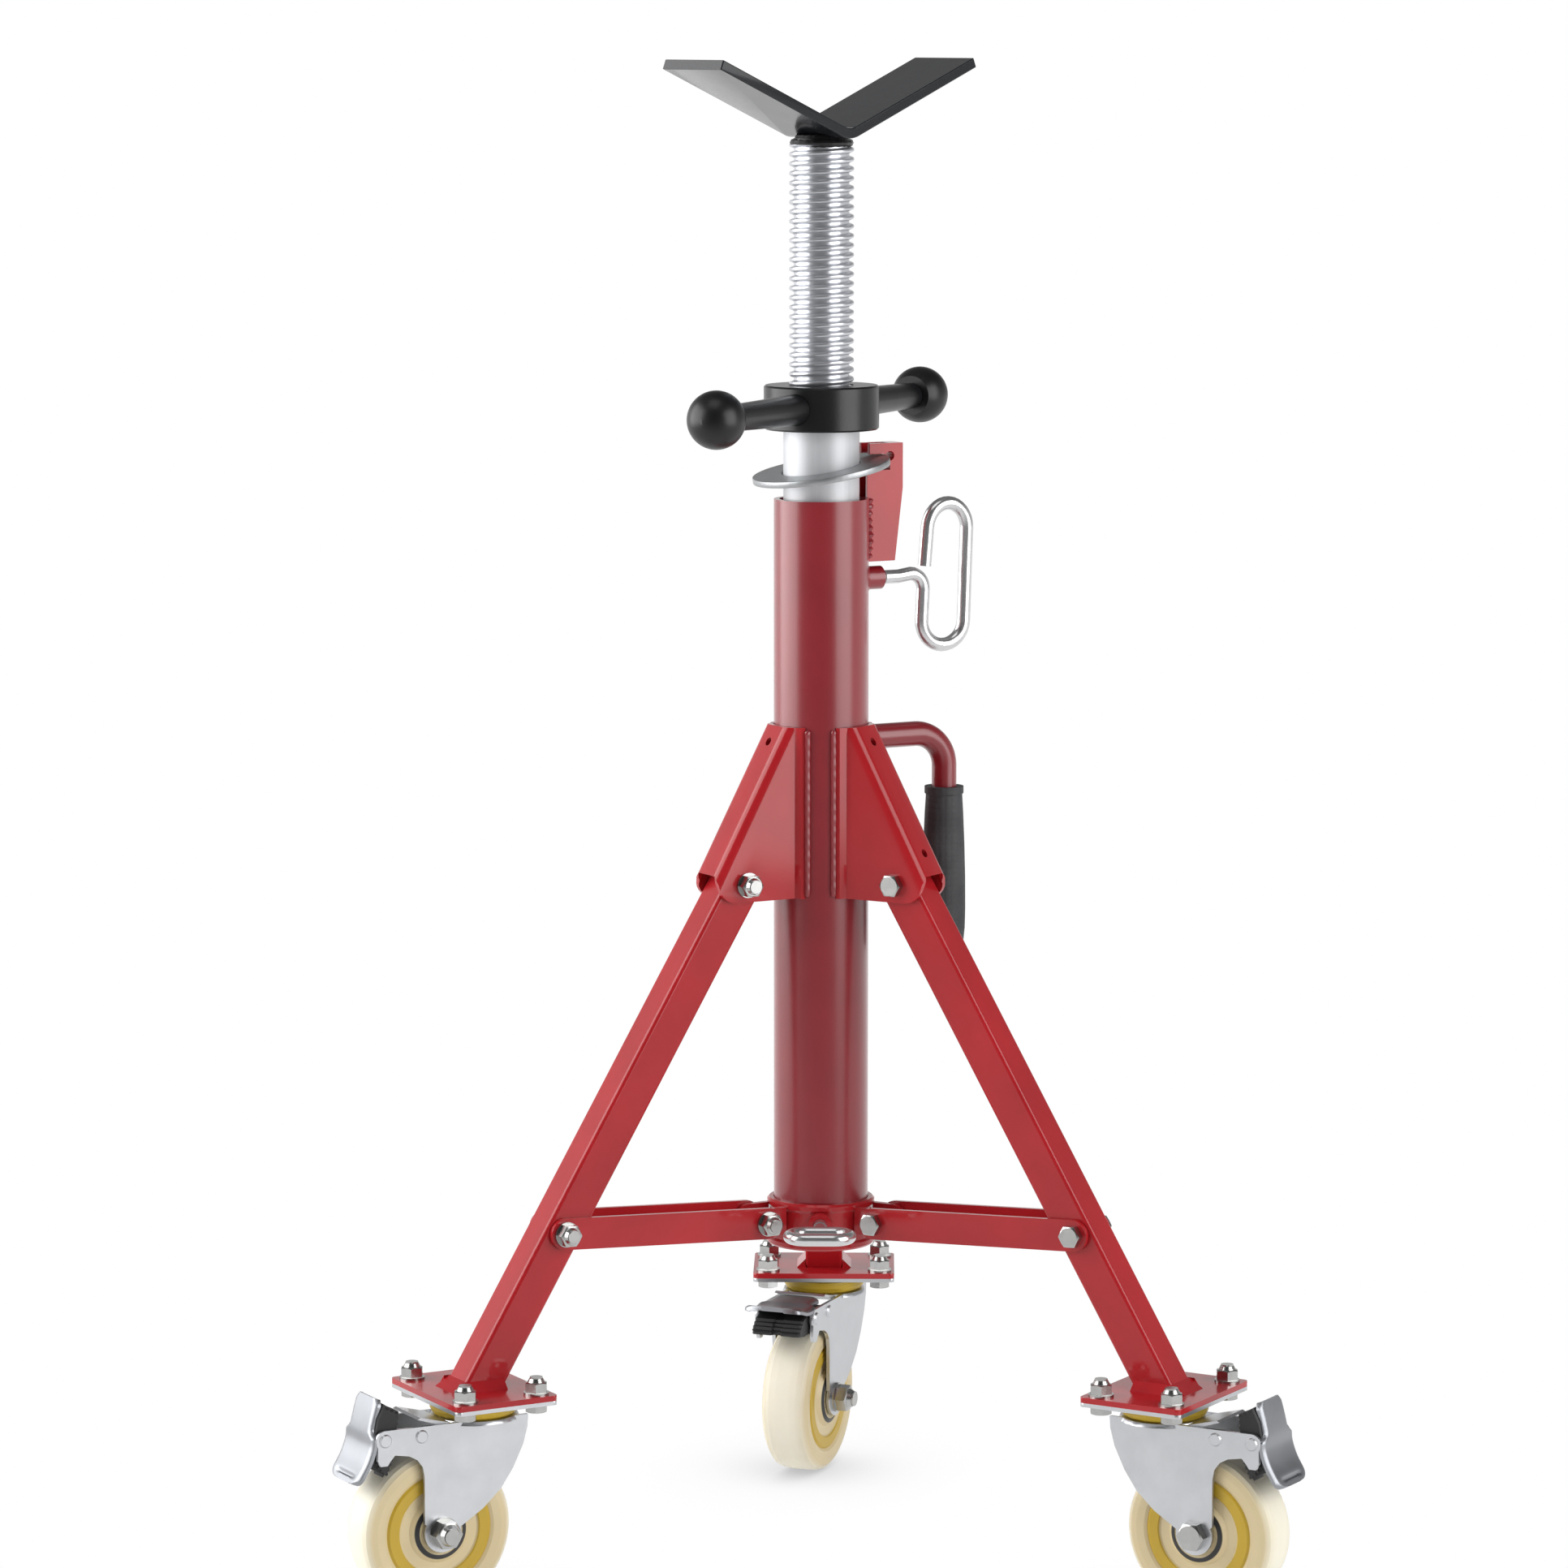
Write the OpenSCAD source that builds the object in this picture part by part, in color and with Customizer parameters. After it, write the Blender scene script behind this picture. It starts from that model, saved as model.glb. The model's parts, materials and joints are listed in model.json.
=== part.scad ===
// Folding three-legged pipe stand with a V head, a jack screw and braked swivel casters.
// Millimetres, +Z up. The origin is on the floor, under the column's centre line.
// Directions in plan are angles from +X towards +Y. The front of the stand looks along -Y.

/* [Column] */
// Outside diameter of the fixed outer tube
column_od = 60.3; // [57:0.1:64]
// Wall of the outer tube
column_wall = 3.5; // [2.5:0.1:4.2]
// Height of the outer tube's top end above the floor
column_top = 682; // [650:1:720]
// Height of the outer tube's bottom end above the floor
column_bottom = 205; // [202:1:212]
// Outside diameter of the sliding inner tube
inner_od = 48.3; // [46:0.1:49.5]
// Wall of the inner tube
inner_wall = 3.2; // [2.6:0.1:3.4]
// Length of the inner tube
inner_len = 500; // [420:1:520]
// Length of the inner tube that stands out of the outer tube
inner_out = 50; // [45:1:90]

/* [Jack] */
// Outside diameter of the jack nut
nut_od = 73; // [66:0.5:80]
// Height of the jack nut
nut_h = 28; // [22:0.5:36]
// How far the nut reaches down over the inner tube
nut_seat = 6; // [4:0.5:9]
// Distance from the column's centre line to the middle of a ball knob
knob_reach = 139; // [120:1:165]
// Diameter of a ball knob
knob_d = 36.5; // [30:0.5:42]
// Diameter of a nut rod where it leaves the nut
rod_root_d = 20; // [16:0.5:22]
// Diameter of a nut rod at its ball
rod_tip_d = 16.5; // [12:0.5:19]
// Direction of the right nut rod in plan
rod_azimuth = 63; // [40:1:80]
// Diameter over the crests of the jack screw
screw_d = 41; // [38:0.1:41.3]
// Depth of the screw's thread
thread_depth = 3; // [2:0.1:3.5]
// Distance from one thread crest to the next
thread_pitch = 6; // [5:0.5:8]
// Diameter of the hole down the middle of the screw
screw_bore = 24; // [18:0.5:26]
// Length of the jack screw
screw_len = 300; // [270:1:340]
// Length of the screw above the nut
screw_out = 151; // [80:1:170]

/* [V head] */
// Distance from the middle of the V to a wing's outer edge, measured level
wing_reach = 108; // [90:1:125]
// Height of a wing's outer edge above the valley
wing_rise = 44; // [30:1:60]
// Length of the V head along its trough
head_len = 54; // [45:1:70]
// Thickness of the V head's plate
head_t = 6.5; // [5:0.5:8]
// Bend radius on the inside of the V
head_bend_r = 12; // [6:0.5:16]
// Direction in plan in which the right wing rises
wing_azimuth = 44; // [0:1:90]

/* [Legs] */
// Distance from the centre line to a leg's top pivot
pivot_r = 62; // [60:0.5:66]
// Height of the legs' top pivots
pivot_z = 441; // [420:1:460]
// Lean of a leg from the vertical
leg_lean = 31.5; // [28:0.5:34]
// Width of a leg's square tube
leg_w = 25; // [22:0.5:27]
// Wall of a leg's tube
leg_wall = 2; // [1.5:0.1:3]
// Distance along a leg from its top pivot to its strut bolt
strut_at = 248; // [235:1:260]
// Gap between a leg and the plates on either side of it
side_gap = 0.5; // [0.3:0.1:0.8]
// Thickness of the bracket and hook sheet
sheet_t = 3; // [2.5:0.1:4]
// Height of the leg brackets' top edge above the pivots
bracket_up = 98; // [85:1:110]
// Diameter of the bolts at the leg pivots and the casters
bolt_d = 8; // [7:0.5:9]

/* [Struts and collar] */
// Height of a strut bar
strut_h = 20; // [17:0.5:22]
// Thickness of a strut bar
strut_t = 3; // [2.5:0.1:4]
// Distance from the centre line to the collar's strut bolts
lug_r = 47.4; // [46:0.1:50]
// Height of the collar's strut bolts above the floor
lug_z = 222; // [219:1:226]
// Height of the collar
collar_h = 30; // [26:1:36]
// Wall of the collar
collar_wall = 3; // [2.5:0.1:4]
// Diameter of the bolts at the ends of the struts
strut_bolt_d = 8; // [7:0.5:10]

/* [Screws with loops] */
// Diameter of the rod of the upper clamp screw
loop_rod_d = 8.8; // [7:0.1:10]
// Height of the upper screw's loop, outside
loop_h = 100; // [80:1:110]
// Width of the upper screw's loop, outside
loop_w = 40; // [34:1:48]
// Distance of the upper clamp screw below the outer tube's top
clamp_drop = 52; // [48:1:70]
// Direction of the hook, the upper clamp screw and the carrying handle
side_azimuth = 30; // [22:1:38]
// Diameter of the rod of the collar screw
small_rod_d = 8; // [6:0.1:9]
// Width of the collar screw's loop, outside
small_loop_w = 46; // [40:1:52]
// Depth of the collar screw's loop, outside
small_loop_h = 30; // [26:1:36]

/* [Hook and lock ring] */
// Outside diameter of the lock ring
ring_od = 88; // [84:0.5:92]
// Diameter of the hole in the lock ring
ring_hole = 51; // [50.2:0.1:53]
// Thickness of the lock ring
ring_t = 4; // [3:0.5:5]
// Tilt of the lock ring when it grips
ring_tilt = 9.6; // [6:0.2:11]
// Height of the ring's middle above the outer tube's top
ring_up = 17.7; // [16:0.1:20]
// Height of the hook's top above the outer tube's top
hook_up = 34; // [32:1:38]
// Length of the hook
hook_len = 75; // [60:1:85]
// Width of the hook across its two walls
hook_w = 14; // [12:0.5:18]

/* [Carrying handle] */
// Diameter of the handle's rod
handle_d = 16; // [12:0.5:18]
// Distance from the centre line to the grip's middle
handle_r = 91; // [85:1:100]
// Height of the handle's rod where it leaves the column
handle_z = 528; // [515:1:540]
// Bend radius of the handle's rod, to its middle
handle_bend = 22; // [16:1:28]
// Length of the grip
grip_len = 107; // [90:1:120]
// Largest diameter of the grip
grip_d = 28; // [24:0.5:32]

/* [Casters] */
// Diameter of a caster wheel
wheel_d = 101.6; // [96:0.1:104]
// Width of a caster wheel at its tread
wheel_w = 32; // [28:0.5:34]
// Gap between the top of a wheel and the top of its caster's plate
crown_gap = 30.9; // [28:0.1:40]
// Distance from the swivel's centre line to the axle
trail = 32; // [28:0.5:36]
// Length of the caster's plate, across the leg
plate_l = 96; // [92:0.5:104]
// Width of the caster's plate, along the leg
plate_w = 70; // [66:0.5:76]
// Distance between the plate's holes, across the leg
hole_l = 76; // [74:0.5:80]
// Distance between the plate's holes, along the leg
hole_w = 49; // [47:0.5:52]
// Thickness of the caster's plate
plate_t = 2.5; // [2:0.1:3]
// Thickness of the plate welded under a leg
foot_t = 3.5; // [3:0.1:5]
// Thickness of the fork's sheet
fork_t = 2.5; // [2:0.1:3]
// Diameter of the wheel's axle bolt
axle_d = 10; // [8:0.5:11]
// Direction in plan in which the rear caster trails
rear_trail_azimuth = 250; // [200:1:300]
// How far the rear pedal is lifted from its locked place
pedal_lift = 75; // [60:1:78]

/* [Hidden] */
$fn = 72;

// Overrun of every cut past the face that it goes through
cut = 2;
// Radial clearance of a shaft or bolt in its hole
fit_gap = 0.08;
// Gap between curved faces that don't turn on each other
seat_gap = 0.3;
// Gap left under a weld between a plate and a tube
weld_gap = 0.05;

left_az = 210;
right_az = 330;
rear_az = 90;
collar_screw_az = 270;

column_r = column_od / 2;
inner_r = inner_od / 2;
inner_top = column_top + inner_out;
nut_z = inner_top - nut_seat;
nut_top = nut_z + nut_h;
screw_top = nut_top + screw_out;
wheel_r = wheel_d / 2;
caster_h = wheel_d + crown_gap;
foot_top = caster_h + foot_t;
foot_r = pivot_r + (pivot_z - foot_top) * tan(leg_lean);
leg_half = leg_w / 2;
side_in = leg_half + side_gap;
side_out = side_in + sheet_t;
strut_out = side_in + strut_t;
strut_pin_r = pivot_r + strut_at * sin(leg_lean);
strut_pin_z = pivot_z - strut_at * cos(leg_lean);
strut_run = strut_pin_r - lug_r;
strut_climb = strut_pin_z - lug_z;
strut_len = sqrt(strut_run * strut_run + strut_climb * strut_climb);
strut_angle = atan2(strut_climb, strut_run);

// Fasteners, each size a share of the bolt's diameter
head_af_share = 1.62;
head_h_share = 0.66;
nut_h_share = 0.8;
dome_h_share = 0.28;
dome_r_share = 0.68;
washer_r_share = 1.0;
washer_t_share = 0.18;
end_share = 0.12;
edge_cut_share = 0.1;

module hex_block(af, h, chamfer) {
    corner_r = af / 2 / cos(30);
    intersection() {
        cylinder(r = corner_r, h = h, $fn = 6);
        union() {
            cylinder(r = corner_r + cut, h = h - chamfer);
            translate([0, 0, h - chamfer])
                cylinder(r1 = corner_r, r2 = corner_r - 2 * chamfer, h = chamfer);
        }
    }
}

// Head, shank from z = 0 up. The head lies below z = 0, with its chamfer down.
module bolt(d, shank) {
    mirror([0, 0, 1])
        hex_block(head_af_share * d, head_h_share * d, edge_cut_share * d);
    cylinder(d = d, h = shank);
}

// Washer and lock nut from z = 0 up, with a domed collar and its own bore.
module lock_nut(d) {
    washer_t = washer_t_share * d;
    nut_h = nut_h_share * d;
    dome_h = dome_h_share * d;
    difference() {
        union() {
            cylinder(r = washer_r_share * d, h = washer_t);
            translate([0, 0, washer_t])
                hex_block(head_af_share * d, nut_h, edge_cut_share * d);
            translate([0, 0, washer_t + nut_h])
                cylinder(r1 = dome_r_share * d, r2 = dome_r_share * d - dome_h / 2, h = dome_h);
        }
        translate([0, 0, -cut])
            cylinder(r = d / 2 + fit_gap, h = washer_t + nut_h + dome_h + 2 * cut);
    }
}

function nut_stack(d) = (washer_t_share + nut_h_share + dome_h_share + end_share) * d;

// A bolt through a stack of the given grip, with its nut on top.
module bolt_and_nut(d, grip) {
    bolt(d, grip + nut_stack(d));
    translate([0, 0, grip])
        lock_nut(d);
}

// Children lie across a leg's plane: their +Z points sideways, towards rising azimuth.
module across(x, z) {
    translate([x, 0, z])
        rotate([-90, 0, 0])
            children();
}

// The side of a leg on which the nuts lie: the left leg shows its nuts, the right its heads.
module bolt_across(x, z, d, half_grip, flip) {
    across(x, z)
        mirror([0, 0, flip])
            translate([0, 0, -half_grip])
                bolt_and_nut(d, 2 * half_grip);
}

module hole_across(x, z, r, half) {
    across(x, z)
        translate([0, 0, -half])
            cylinder(r = r, h = 2 * half);
}

// An outline drawn in the radial plane (x outwards, y up), made thick across it.
module slab_across(from, to) {
    translate([0, to, 0])
        rotate([90, 0, 0])
            linear_extrude(to - from)
                children();
}

module rounded_rect(x, y, r) {
    square([x - 2 * r, y], center = true);
    square([x, y - 2 * r], center = true);
    for (sx = [-1, 1], sy = [-1, 1])
        translate([sx * (x / 2 - r), sy * (y / 2 - r)])
            circle(r);
}

module pipe(r_out, r_in, z0, z1) {
    difference() {
        translate([0, 0, z0])
            cylinder(r = r_out, h = z1 - z0);
        translate([0, 0, z0 - cut])
            cylinder(r = r_in, h = z1 - z0 + 2 * cut);
    }
}

// Column

clamp_z = column_top - clamp_drop;
clamp_thread_d = loop_rod_d + edge_cut_share * loop_rod_d;
collar_thread_d = small_rod_d + edge_cut_share * small_rod_d;

module clamp_hole(r) {
    rotate([0, 0, side_azimuth])
        translate([0, 0, clamp_z])
            rotate([0, 90, 0])
                cylinder(r = r, h = column_od);
}

module outer_tube() {
    color("firebrick")
        difference() {
            pipe(column_r, column_r - column_wall, column_bottom, column_top);
            clamp_hole(clamp_thread_d / 2 + fit_gap);
        }
}

module inner_tube() {
    color("gainsboro")
        pipe(inner_r, inner_r - inner_wall, inner_top - inner_len, inner_top);
}

// Hook that holds the lock ring

hook_out = column_r + 25.5 / 60.3 * column_od;
hook_foot_out = column_r + 19.8 / 60.3 * column_od;
hook_lip_in = 0.52 * column_od;
hook_top = column_top + hook_up;
ring_z = column_top + ring_up;
ring_tip_r = ring_od / 2 * cos(ring_tilt);
ring_tip_z = ring_z + ring_od / 2 * sin(ring_tilt);
notch_top = ring_tip_z + ring_t / 2 * cos(ring_tilt) + seat_gap;
notch_bottom = ring_tip_z - ring_t - 2 * cut;
notch_out = ring_od / 2 + 4 * weld_gap + cut;
knee_share = 0.38;
relief_r = sheet_t;

module hook_outline() {
    hook_bottom = hook_top - hook_len;
    difference() {
        polygon([
            [hook_lip_in, hook_top],
            [hook_out, hook_top],
            [hook_out, hook_top - knee_share * hook_len],
            [hook_foot_out, hook_bottom],
            [0, hook_bottom],
            [0, notch_bottom],
            [hook_lip_in, notch_bottom]
        ]);
        translate([0, notch_bottom])
            square([notch_out, notch_top - notch_bottom]);
        translate([notch_out, notch_top - relief_r / 2])
            circle(relief_r);
    }
}

module ring_hook() {
    color("indianred")
        rotate([0, 0, side_azimuth])
            difference() {
                slab_across(-hook_w / 2, hook_w / 2)
                    hook_outline();
                slab_across(-hook_w / 2 + sheet_t, hook_w / 2 - sheet_t)
                    translate([-sheet_t, hook_top - hook_len - cut])
                        square([hook_foot_out, hook_len + 2 * cut]);
                cylinder(r = column_r + weld_gap, h = hook_top + cut);
            }
}

module lock_ring() {
    color("silver")
        rotate([0, 0, side_azimuth])
            translate([0, 0, ring_z])
                rotate([0, -ring_tilt, 0])
                    pipe(ring_od / 2, ring_hole / 2, -ring_t / 2, ring_t / 2);
}

// Screws with looped handles

boss_d = 1.7 * loop_rod_d;
boss_out = column_r + 1.45 * loop_rod_d;
loop_mid = column_r + 60.85 / 60.3 * column_od;

// A closed loop of round rod in the X Z plane, centred on the origin.
module rod_loop(w, h, d) {
    half_w = w / 2 - d / 2;
    straight = h - d - 2 * half_w;
    for (side = [-1, 1]) {
        translate([side * half_w, 0, -straight / 2])
            cylinder(d = d, h = straight);
        translate([0, 0, side * straight / 2])
            rotate([90, 0, 0])
                rotate([0, 0, side > 0 ? 0 : 180])
                    rotate_extrude(angle = 180)
                        translate([half_w, 0])
                            circle(d = d);
    }
}

module clamp_boss() {
    color("firebrick")
        rotate([0, 0, side_azimuth])
            translate([0, 0, clamp_z])
                difference() {
                    rotate([0, 90, 0])
                        cylinder(d = boss_d, h = boss_out);
                    rotate([0, 90, 0])
                        cylinder(r = clamp_thread_d / 2 + fit_gap, h = boss_out + cut);
                    translate([0, 0, -boss_d])
                        cylinder(r = column_r + weld_gap, h = 2 * boss_d);
                }
}

module clamp_screw() {
    stem_end = loop_mid - loop_w / 2 + loop_rod_d / 2;
    color("gainsboro")
        rotate([0, 0, side_azimuth])
            translate([0, 0, clamp_z]) {
                translate([inner_r + seat_gap, 0, 0])
                    rotate([0, 90, 0])
                        cylinder(d = clamp_thread_d, h = boss_out + loop_rod_d / 2 - inner_r);
                translate([boss_out, 0, 0])
                    rotate([0, 90, 0])
                        cylinder(d = loop_rod_d, h = stem_end - boss_out);
                translate([loop_mid, 0, 0])
                    rod_loop(loop_w, loop_h, loop_rod_d);
            }
}

// Carrying handle

module carry_handle() {
    drop = handle_z - handle_bend - grip_bottom - grip_end;
    color("firebrick")
        rotate([0, 0, side_azimuth])
            difference() {
                union() {
                    translate([0, 0, handle_z])
                        rotate([0, 90, 0])
                            cylinder(d = handle_d, h = handle_r - handle_bend);
                    translate([handle_r - handle_bend, 0, handle_z - handle_bend])
                        rotate([90, 0, 0])
                            rotate_extrude(angle = 90)
                                translate([handle_bend, 0])
                                    circle(d = handle_d);
                    translate([handle_r, 0, grip_bottom + grip_end])
                        cylinder(d = handle_d, h = drop);
                }
                translate([0, 0, handle_z - handle_d])
                    cylinder(r = column_r + weld_gap, h = 2 * handle_d);
            }
}

grip_top = handle_z - handle_bend - 0.6 * handle_bend;
grip_bottom = grip_top - grip_len;
grip_end = 0.3 * handle_d;
grip_neck_share = 0.84;
grip_lip_share = 0.9;

module handle_grip() {
    r = grip_d / 2;
    neck_r = grip_neck_share * r;
    lip_r = grip_lip_share * r;
    bore_r = handle_d / 2 + weld_gap;
    lip_h = 0.025 * grip_len;
    color("#3a3a3a")
        rotate([0, 0, side_azimuth])
            translate([handle_r, 0, grip_bottom])
                rotate_extrude()
                    polygon([
                        [0, 0],
                        [0.55 * r, 0],
                        [0.8 * r, 0.02 * grip_len],
                        [0.92 * r, 0.06 * grip_len],
                        [0.98 * r, 0.14 * grip_len],
                        [r, 0.26 * grip_len],
                        [0.99 * r, 0.45 * grip_len],
                        [0.95 * r, 0.65 * grip_len],
                        [0.89 * r, 0.84 * grip_len],
                        [neck_r, grip_len - 2 * lip_h],
                        [lip_r, grip_len - 1.6 * lip_h],
                        [lip_r, grip_len],
                        [bore_r, grip_len],
                        [bore_r, grip_end - weld_gap],
                        [0, grip_end - weld_gap]
                    ]);
}

// Jack nut, its rods and knobs

rod_step = nut_od / 2 - 0.35 * rod_root_d;
ball_flat = 0.72 * knob_d / 2;

module nut_body() {
    edge = 0.04 * nut_h;
    r = nut_od / 2;
    rotate_extrude()
        polygon([
            [0, nut_z],
            [r - edge, nut_z],
            [r, nut_z + edge],
            [r, nut_top - edge],
            [r - edge, nut_top],
            [0, nut_top]
        ]);
}

module nut_rod_axes() {
    for (turn = [0, 180])
        rotate([0, 0, rod_azimuth + turn])
            translate([0, 0, nut_z + nut_h / 2])
                rotate([0, 90, 0])
                    children();
}

module jack_nut() {
    color("#262626")
        difference() {
            nut_body();
            translate([0, 0, nut_z - cut])
                cylinder(r = screw_d / 2 + seat_gap / 2, h = nut_h + 2 * cut);
            translate([0, 0, nut_z - cut])
                cylinder(r = inner_r + seat_gap, h = nut_seat + cut);
            nut_rod_axes()
                translate([0, 0, rod_step])
                    cylinder(d = rod_root_d + 2 * weld_gap, h = nut_od);
        }
}

module nut_rods() {
    rod_len = knob_reach - ball_flat - rod_step;
    color("#262626")
        nut_rod_axes()
            translate([0, 0, rod_step + weld_gap])
                cylinder(d1 = rod_root_d, d2 = rod_tip_d, h = rod_len);
}

module nut_knobs() {
    color("#1c1c1c")
        nut_rod_axes()
            difference() {
                translate([0, 0, knob_reach])
                    sphere(d = knob_d);
                cylinder(h = knob_reach - ball_flat + 2 * weld_gap, d = knob_d);
            }
}

// Jack screw with its crests as rings, one at each pitch

module jack_screw() {
    crest_r = screw_d / 2;
    root_r = crest_r - thread_depth;
    count = floor((screw_len - thread_pitch) / thread_pitch);
    bottom = screw_top - screw_len;
    ridge = [for (i = [0:count - 1])
        let (z = bottom + (i + 0.5) * thread_pitch)
            each [
                [root_r, z],
                [crest_r, z + 0.2 * thread_pitch],
                [crest_r, z + 0.5 * thread_pitch],
                [root_r, z + 0.7 * thread_pitch]
            ]];
    color("gainsboro")
        rotate_extrude()
            polygon(concat(
                [[screw_bore / 2, bottom], [root_r, bottom]],
                ridge,
                [[root_r, screw_top], [screw_bore / 2, screw_top]]
            ));
}

// V head

head_slope = atan2(wing_rise, wing_reach);
stub_h = 4;

// Points of the bend's half arc on the right, at radius r from the bend's centre
bend_steps = 6;
function bend_arc(r) = [for (i = [0:bend_steps])
    let (a = head_slope * i / bend_steps)
        [r * sin(a), -r * cos(a)]];

function wing_end(r, len) = [
    r * sin(head_slope) + len * cos(head_slope),
    len * sin(head_slope) - r * cos(head_slope)
];

function mirrored(points) = [for (i = [len(points) - 1:-1:0]) [-points[i][0], points[i][1]]];

module v_head() {
    outer_r = head_bend_r + head_t;
    wing_len = (wing_reach - head_bend_r * sin(head_slope)) / cos(head_slope);
    under = concat(bend_arc(outer_r), [wing_end(outer_r, wing_len)]);
    over = concat(bend_arc(head_bend_r), [wing_end(head_bend_r, wing_len)]);
    last = len(over) - 1;
    over_back = [for (i = [last:-1:1]) over[i]];
    color("#3c3d40")
        translate([0, 0, screw_top + stub_h + weld_gap + outer_r])
            rotate([0, 0, wing_azimuth])
                slab_across(-head_len / 2, head_len / 2)
                    polygon(concat(under, over_back, [over[0]], mirrored(concat(
                        [for (i = [1:last]) under[i]],
                        over_back
                    ))));
}

module head_stub() {
    color("#2c2c2e")
        translate([0, 0, screw_top])
            cylinder(r1 = screw_d / 2 - thread_depth / 2, r2 = screw_d / 2 - thread_depth, h = stub_h);
}

// Leg brackets

bracket_lean = leg_lean - 2.9;
web_gap = 18.5 / 25 * leg_w;
web_out = web_gap + sheet_t;
corner_r = 0.48 * leg_w;
bracket_low = 0.44 * leg_w;
// A point on the web's outer face, level with the pivot plus a quarter of a leg's width
web_foot_z = pivot_z + leg_w / 4;
web_foot_r = pivot_r + (web_out - leg_w / 4 * sin(bracket_lean)) / cos(bracket_lean);
bracket_top = pivot_z + bracket_up;
web_top_r = web_foot_r - (bracket_top - web_foot_z) * tan(bracket_lean);
corner_x = web_foot_r - corner_r - 0.03 * leg_w;
corner_z = pivot_z - bracket_low + corner_r;

module bracket_outline() {
    polygon([
        [0, bracket_top],
        [web_top_r, bracket_top],
        [web_foot_r, web_foot_z],
        [corner_x + corner_r, corner_z],
        [corner_x, pivot_z - bracket_low],
        [0, pivot_z - bracket_low]
    ]);
    translate([corner_x, corner_z])
        circle(corner_r);
}

module bracket_hollow() {
    shift = sheet_t / cos(bracket_lean);
    reach = web_foot_r - shift;
    low = pivot_z - bracket_low - cut;
    polygon([
        [-cut, bracket_top + cut],
        [web_top_r - shift - cut * tan(bracket_lean), bracket_top + cut],
        [reach, web_foot_z],
        [reach + leg_w, web_foot_z],
        [reach + leg_w, low],
        [-cut, low]
    ]);
}

// Strips along the column that carry the bracket's welds
module bracket_strips() {
    spread = asin(side_out / column_r);
    width_angle = 15;
    low = pivot_z - bracket_low;
    for (side = [-1, 1])
        rotate([0, 0, side > 0 ? spread - 3 : -spread - width_angle + 3])
            translate([0, 0, low])
                rotate_extrude(angle = width_angle)
                    translate([column_r + weld_gap, 0])
                        square([sheet_t, bracket_top - low]);
}

module web_hole(drop) {
    z = bracket_top - drop;
    r = web_top_r + drop * tan(bracket_lean);
    translate([r, 0, z])
        rotate([0, 90 - bracket_lean, 0])
            translate([0, 0, -2 * sheet_t])
                cylinder(d = bolt_d * 0.7, h = 4 * sheet_t);
}

module bracket(az, low_hole) {
    color("firebrick")
        rotate([0, 0, az])
            difference() {
                union() {
                    difference() {
                        slab_across(-side_out, side_out)
                            bracket_outline();
                        slab_across(-side_in, side_in)
                            bracket_hollow();
                    }
                    bracket_strips();
                }
                cylinder(r = column_r + weld_gap, h = bracket_top + cut);
                hole_across(pivot_r, pivot_z, bolt_d / 2 + fit_gap, side_out + cut);
                web_hole(0.1 * bracket_up);
                if (low_hole)
                    web_hole(0.8 * bracket_up);
            }
}

module leg_pivot_bolts() {
    color("silver") {
        for (leg = [[left_az, 0], [right_az, 0], [rear_az, 0]])
            rotate([0, 0, leg[0]])
                bolt_across(pivot_r, pivot_z, bolt_d, side_out, leg[1]);
    }
}

// Legs

leg_top = 0.5 * leg_w;
leg_corner = 0.1 * leg_w;

module leg(az) {
    run = (pivot_z - foot_top) / cos(leg_lean) + leg_w;
    color("firebrick")
        rotate([0, 0, az])
            difference() {
                translate([pivot_r, 0, pivot_z])
                    rotate([0, 180 - leg_lean, 0])
                        translate([0, 0, -leg_top])
                            linear_extrude(run + leg_top)
                                difference() {
                                    rounded_rect(leg_w, leg_w, leg_corner);
                                    rounded_rect(leg_w - 2 * leg_wall, leg_w - 2 * leg_wall, leg_corner / 2);
                                }
                translate([foot_r - 3 * leg_w, -leg_w, foot_top - 3 * leg_w])
                    cube([6 * leg_w, 2 * leg_w, 3 * leg_w]);
                hole_across(pivot_r, pivot_z, bolt_d / 2 + fit_gap, leg_w);
                hole_across(strut_pin_r, strut_pin_z, strut_bolt_d / 2 + fit_gap, leg_w);
            }
}

// Plate under a leg, with the fillets of its weld standing round the leg's foot
module foot_plate(az) {
    bead = 0.24 * leg_w;
    half_run = leg_half / cos(leg_lean);
    rise = bead * tan(leg_lean);
    color("firebrick")
        rotate([0, 0, az])
            translate([foot_r, 0, 0]) {
                difference() {
                    translate([0, 0, caster_h])
                        linear_extrude(foot_t)
                            rounded_rect(plate_w, plate_l, foot_t);
                    for (sx = [-1, 1], sy = [-1, 1])
                        translate([sx * hole_w / 2, sy * hole_l / 2, caster_h - cut])
                            cylinder(r = bolt_d / 2 + seat_gap, h = foot_t + 2 * cut);
                }
                for (side = [0, 1])
                    mirror([0, side, 0])
                        translate([-half_run, leg_half + weld_gap, foot_top])
                            rotate([90, 0, 90])
                                linear_extrude(2 * half_run)
                                    polygon([[0, -foot_t / 2], [bead, -foot_t / 2], [bead, 0], [0, bead]]);
                slab_across(-leg_half, leg_half)
                    polygon([
                        [half_run + weld_gap, foot_top - foot_t / 2],
                        [half_run + weld_gap + bead, foot_top - foot_t / 2],
                        [half_run + weld_gap + bead, foot_top],
                        [half_run + weld_gap - rise, foot_top + bead],
                        [half_run + weld_gap, foot_top]
                    ]);
            }
}

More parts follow.
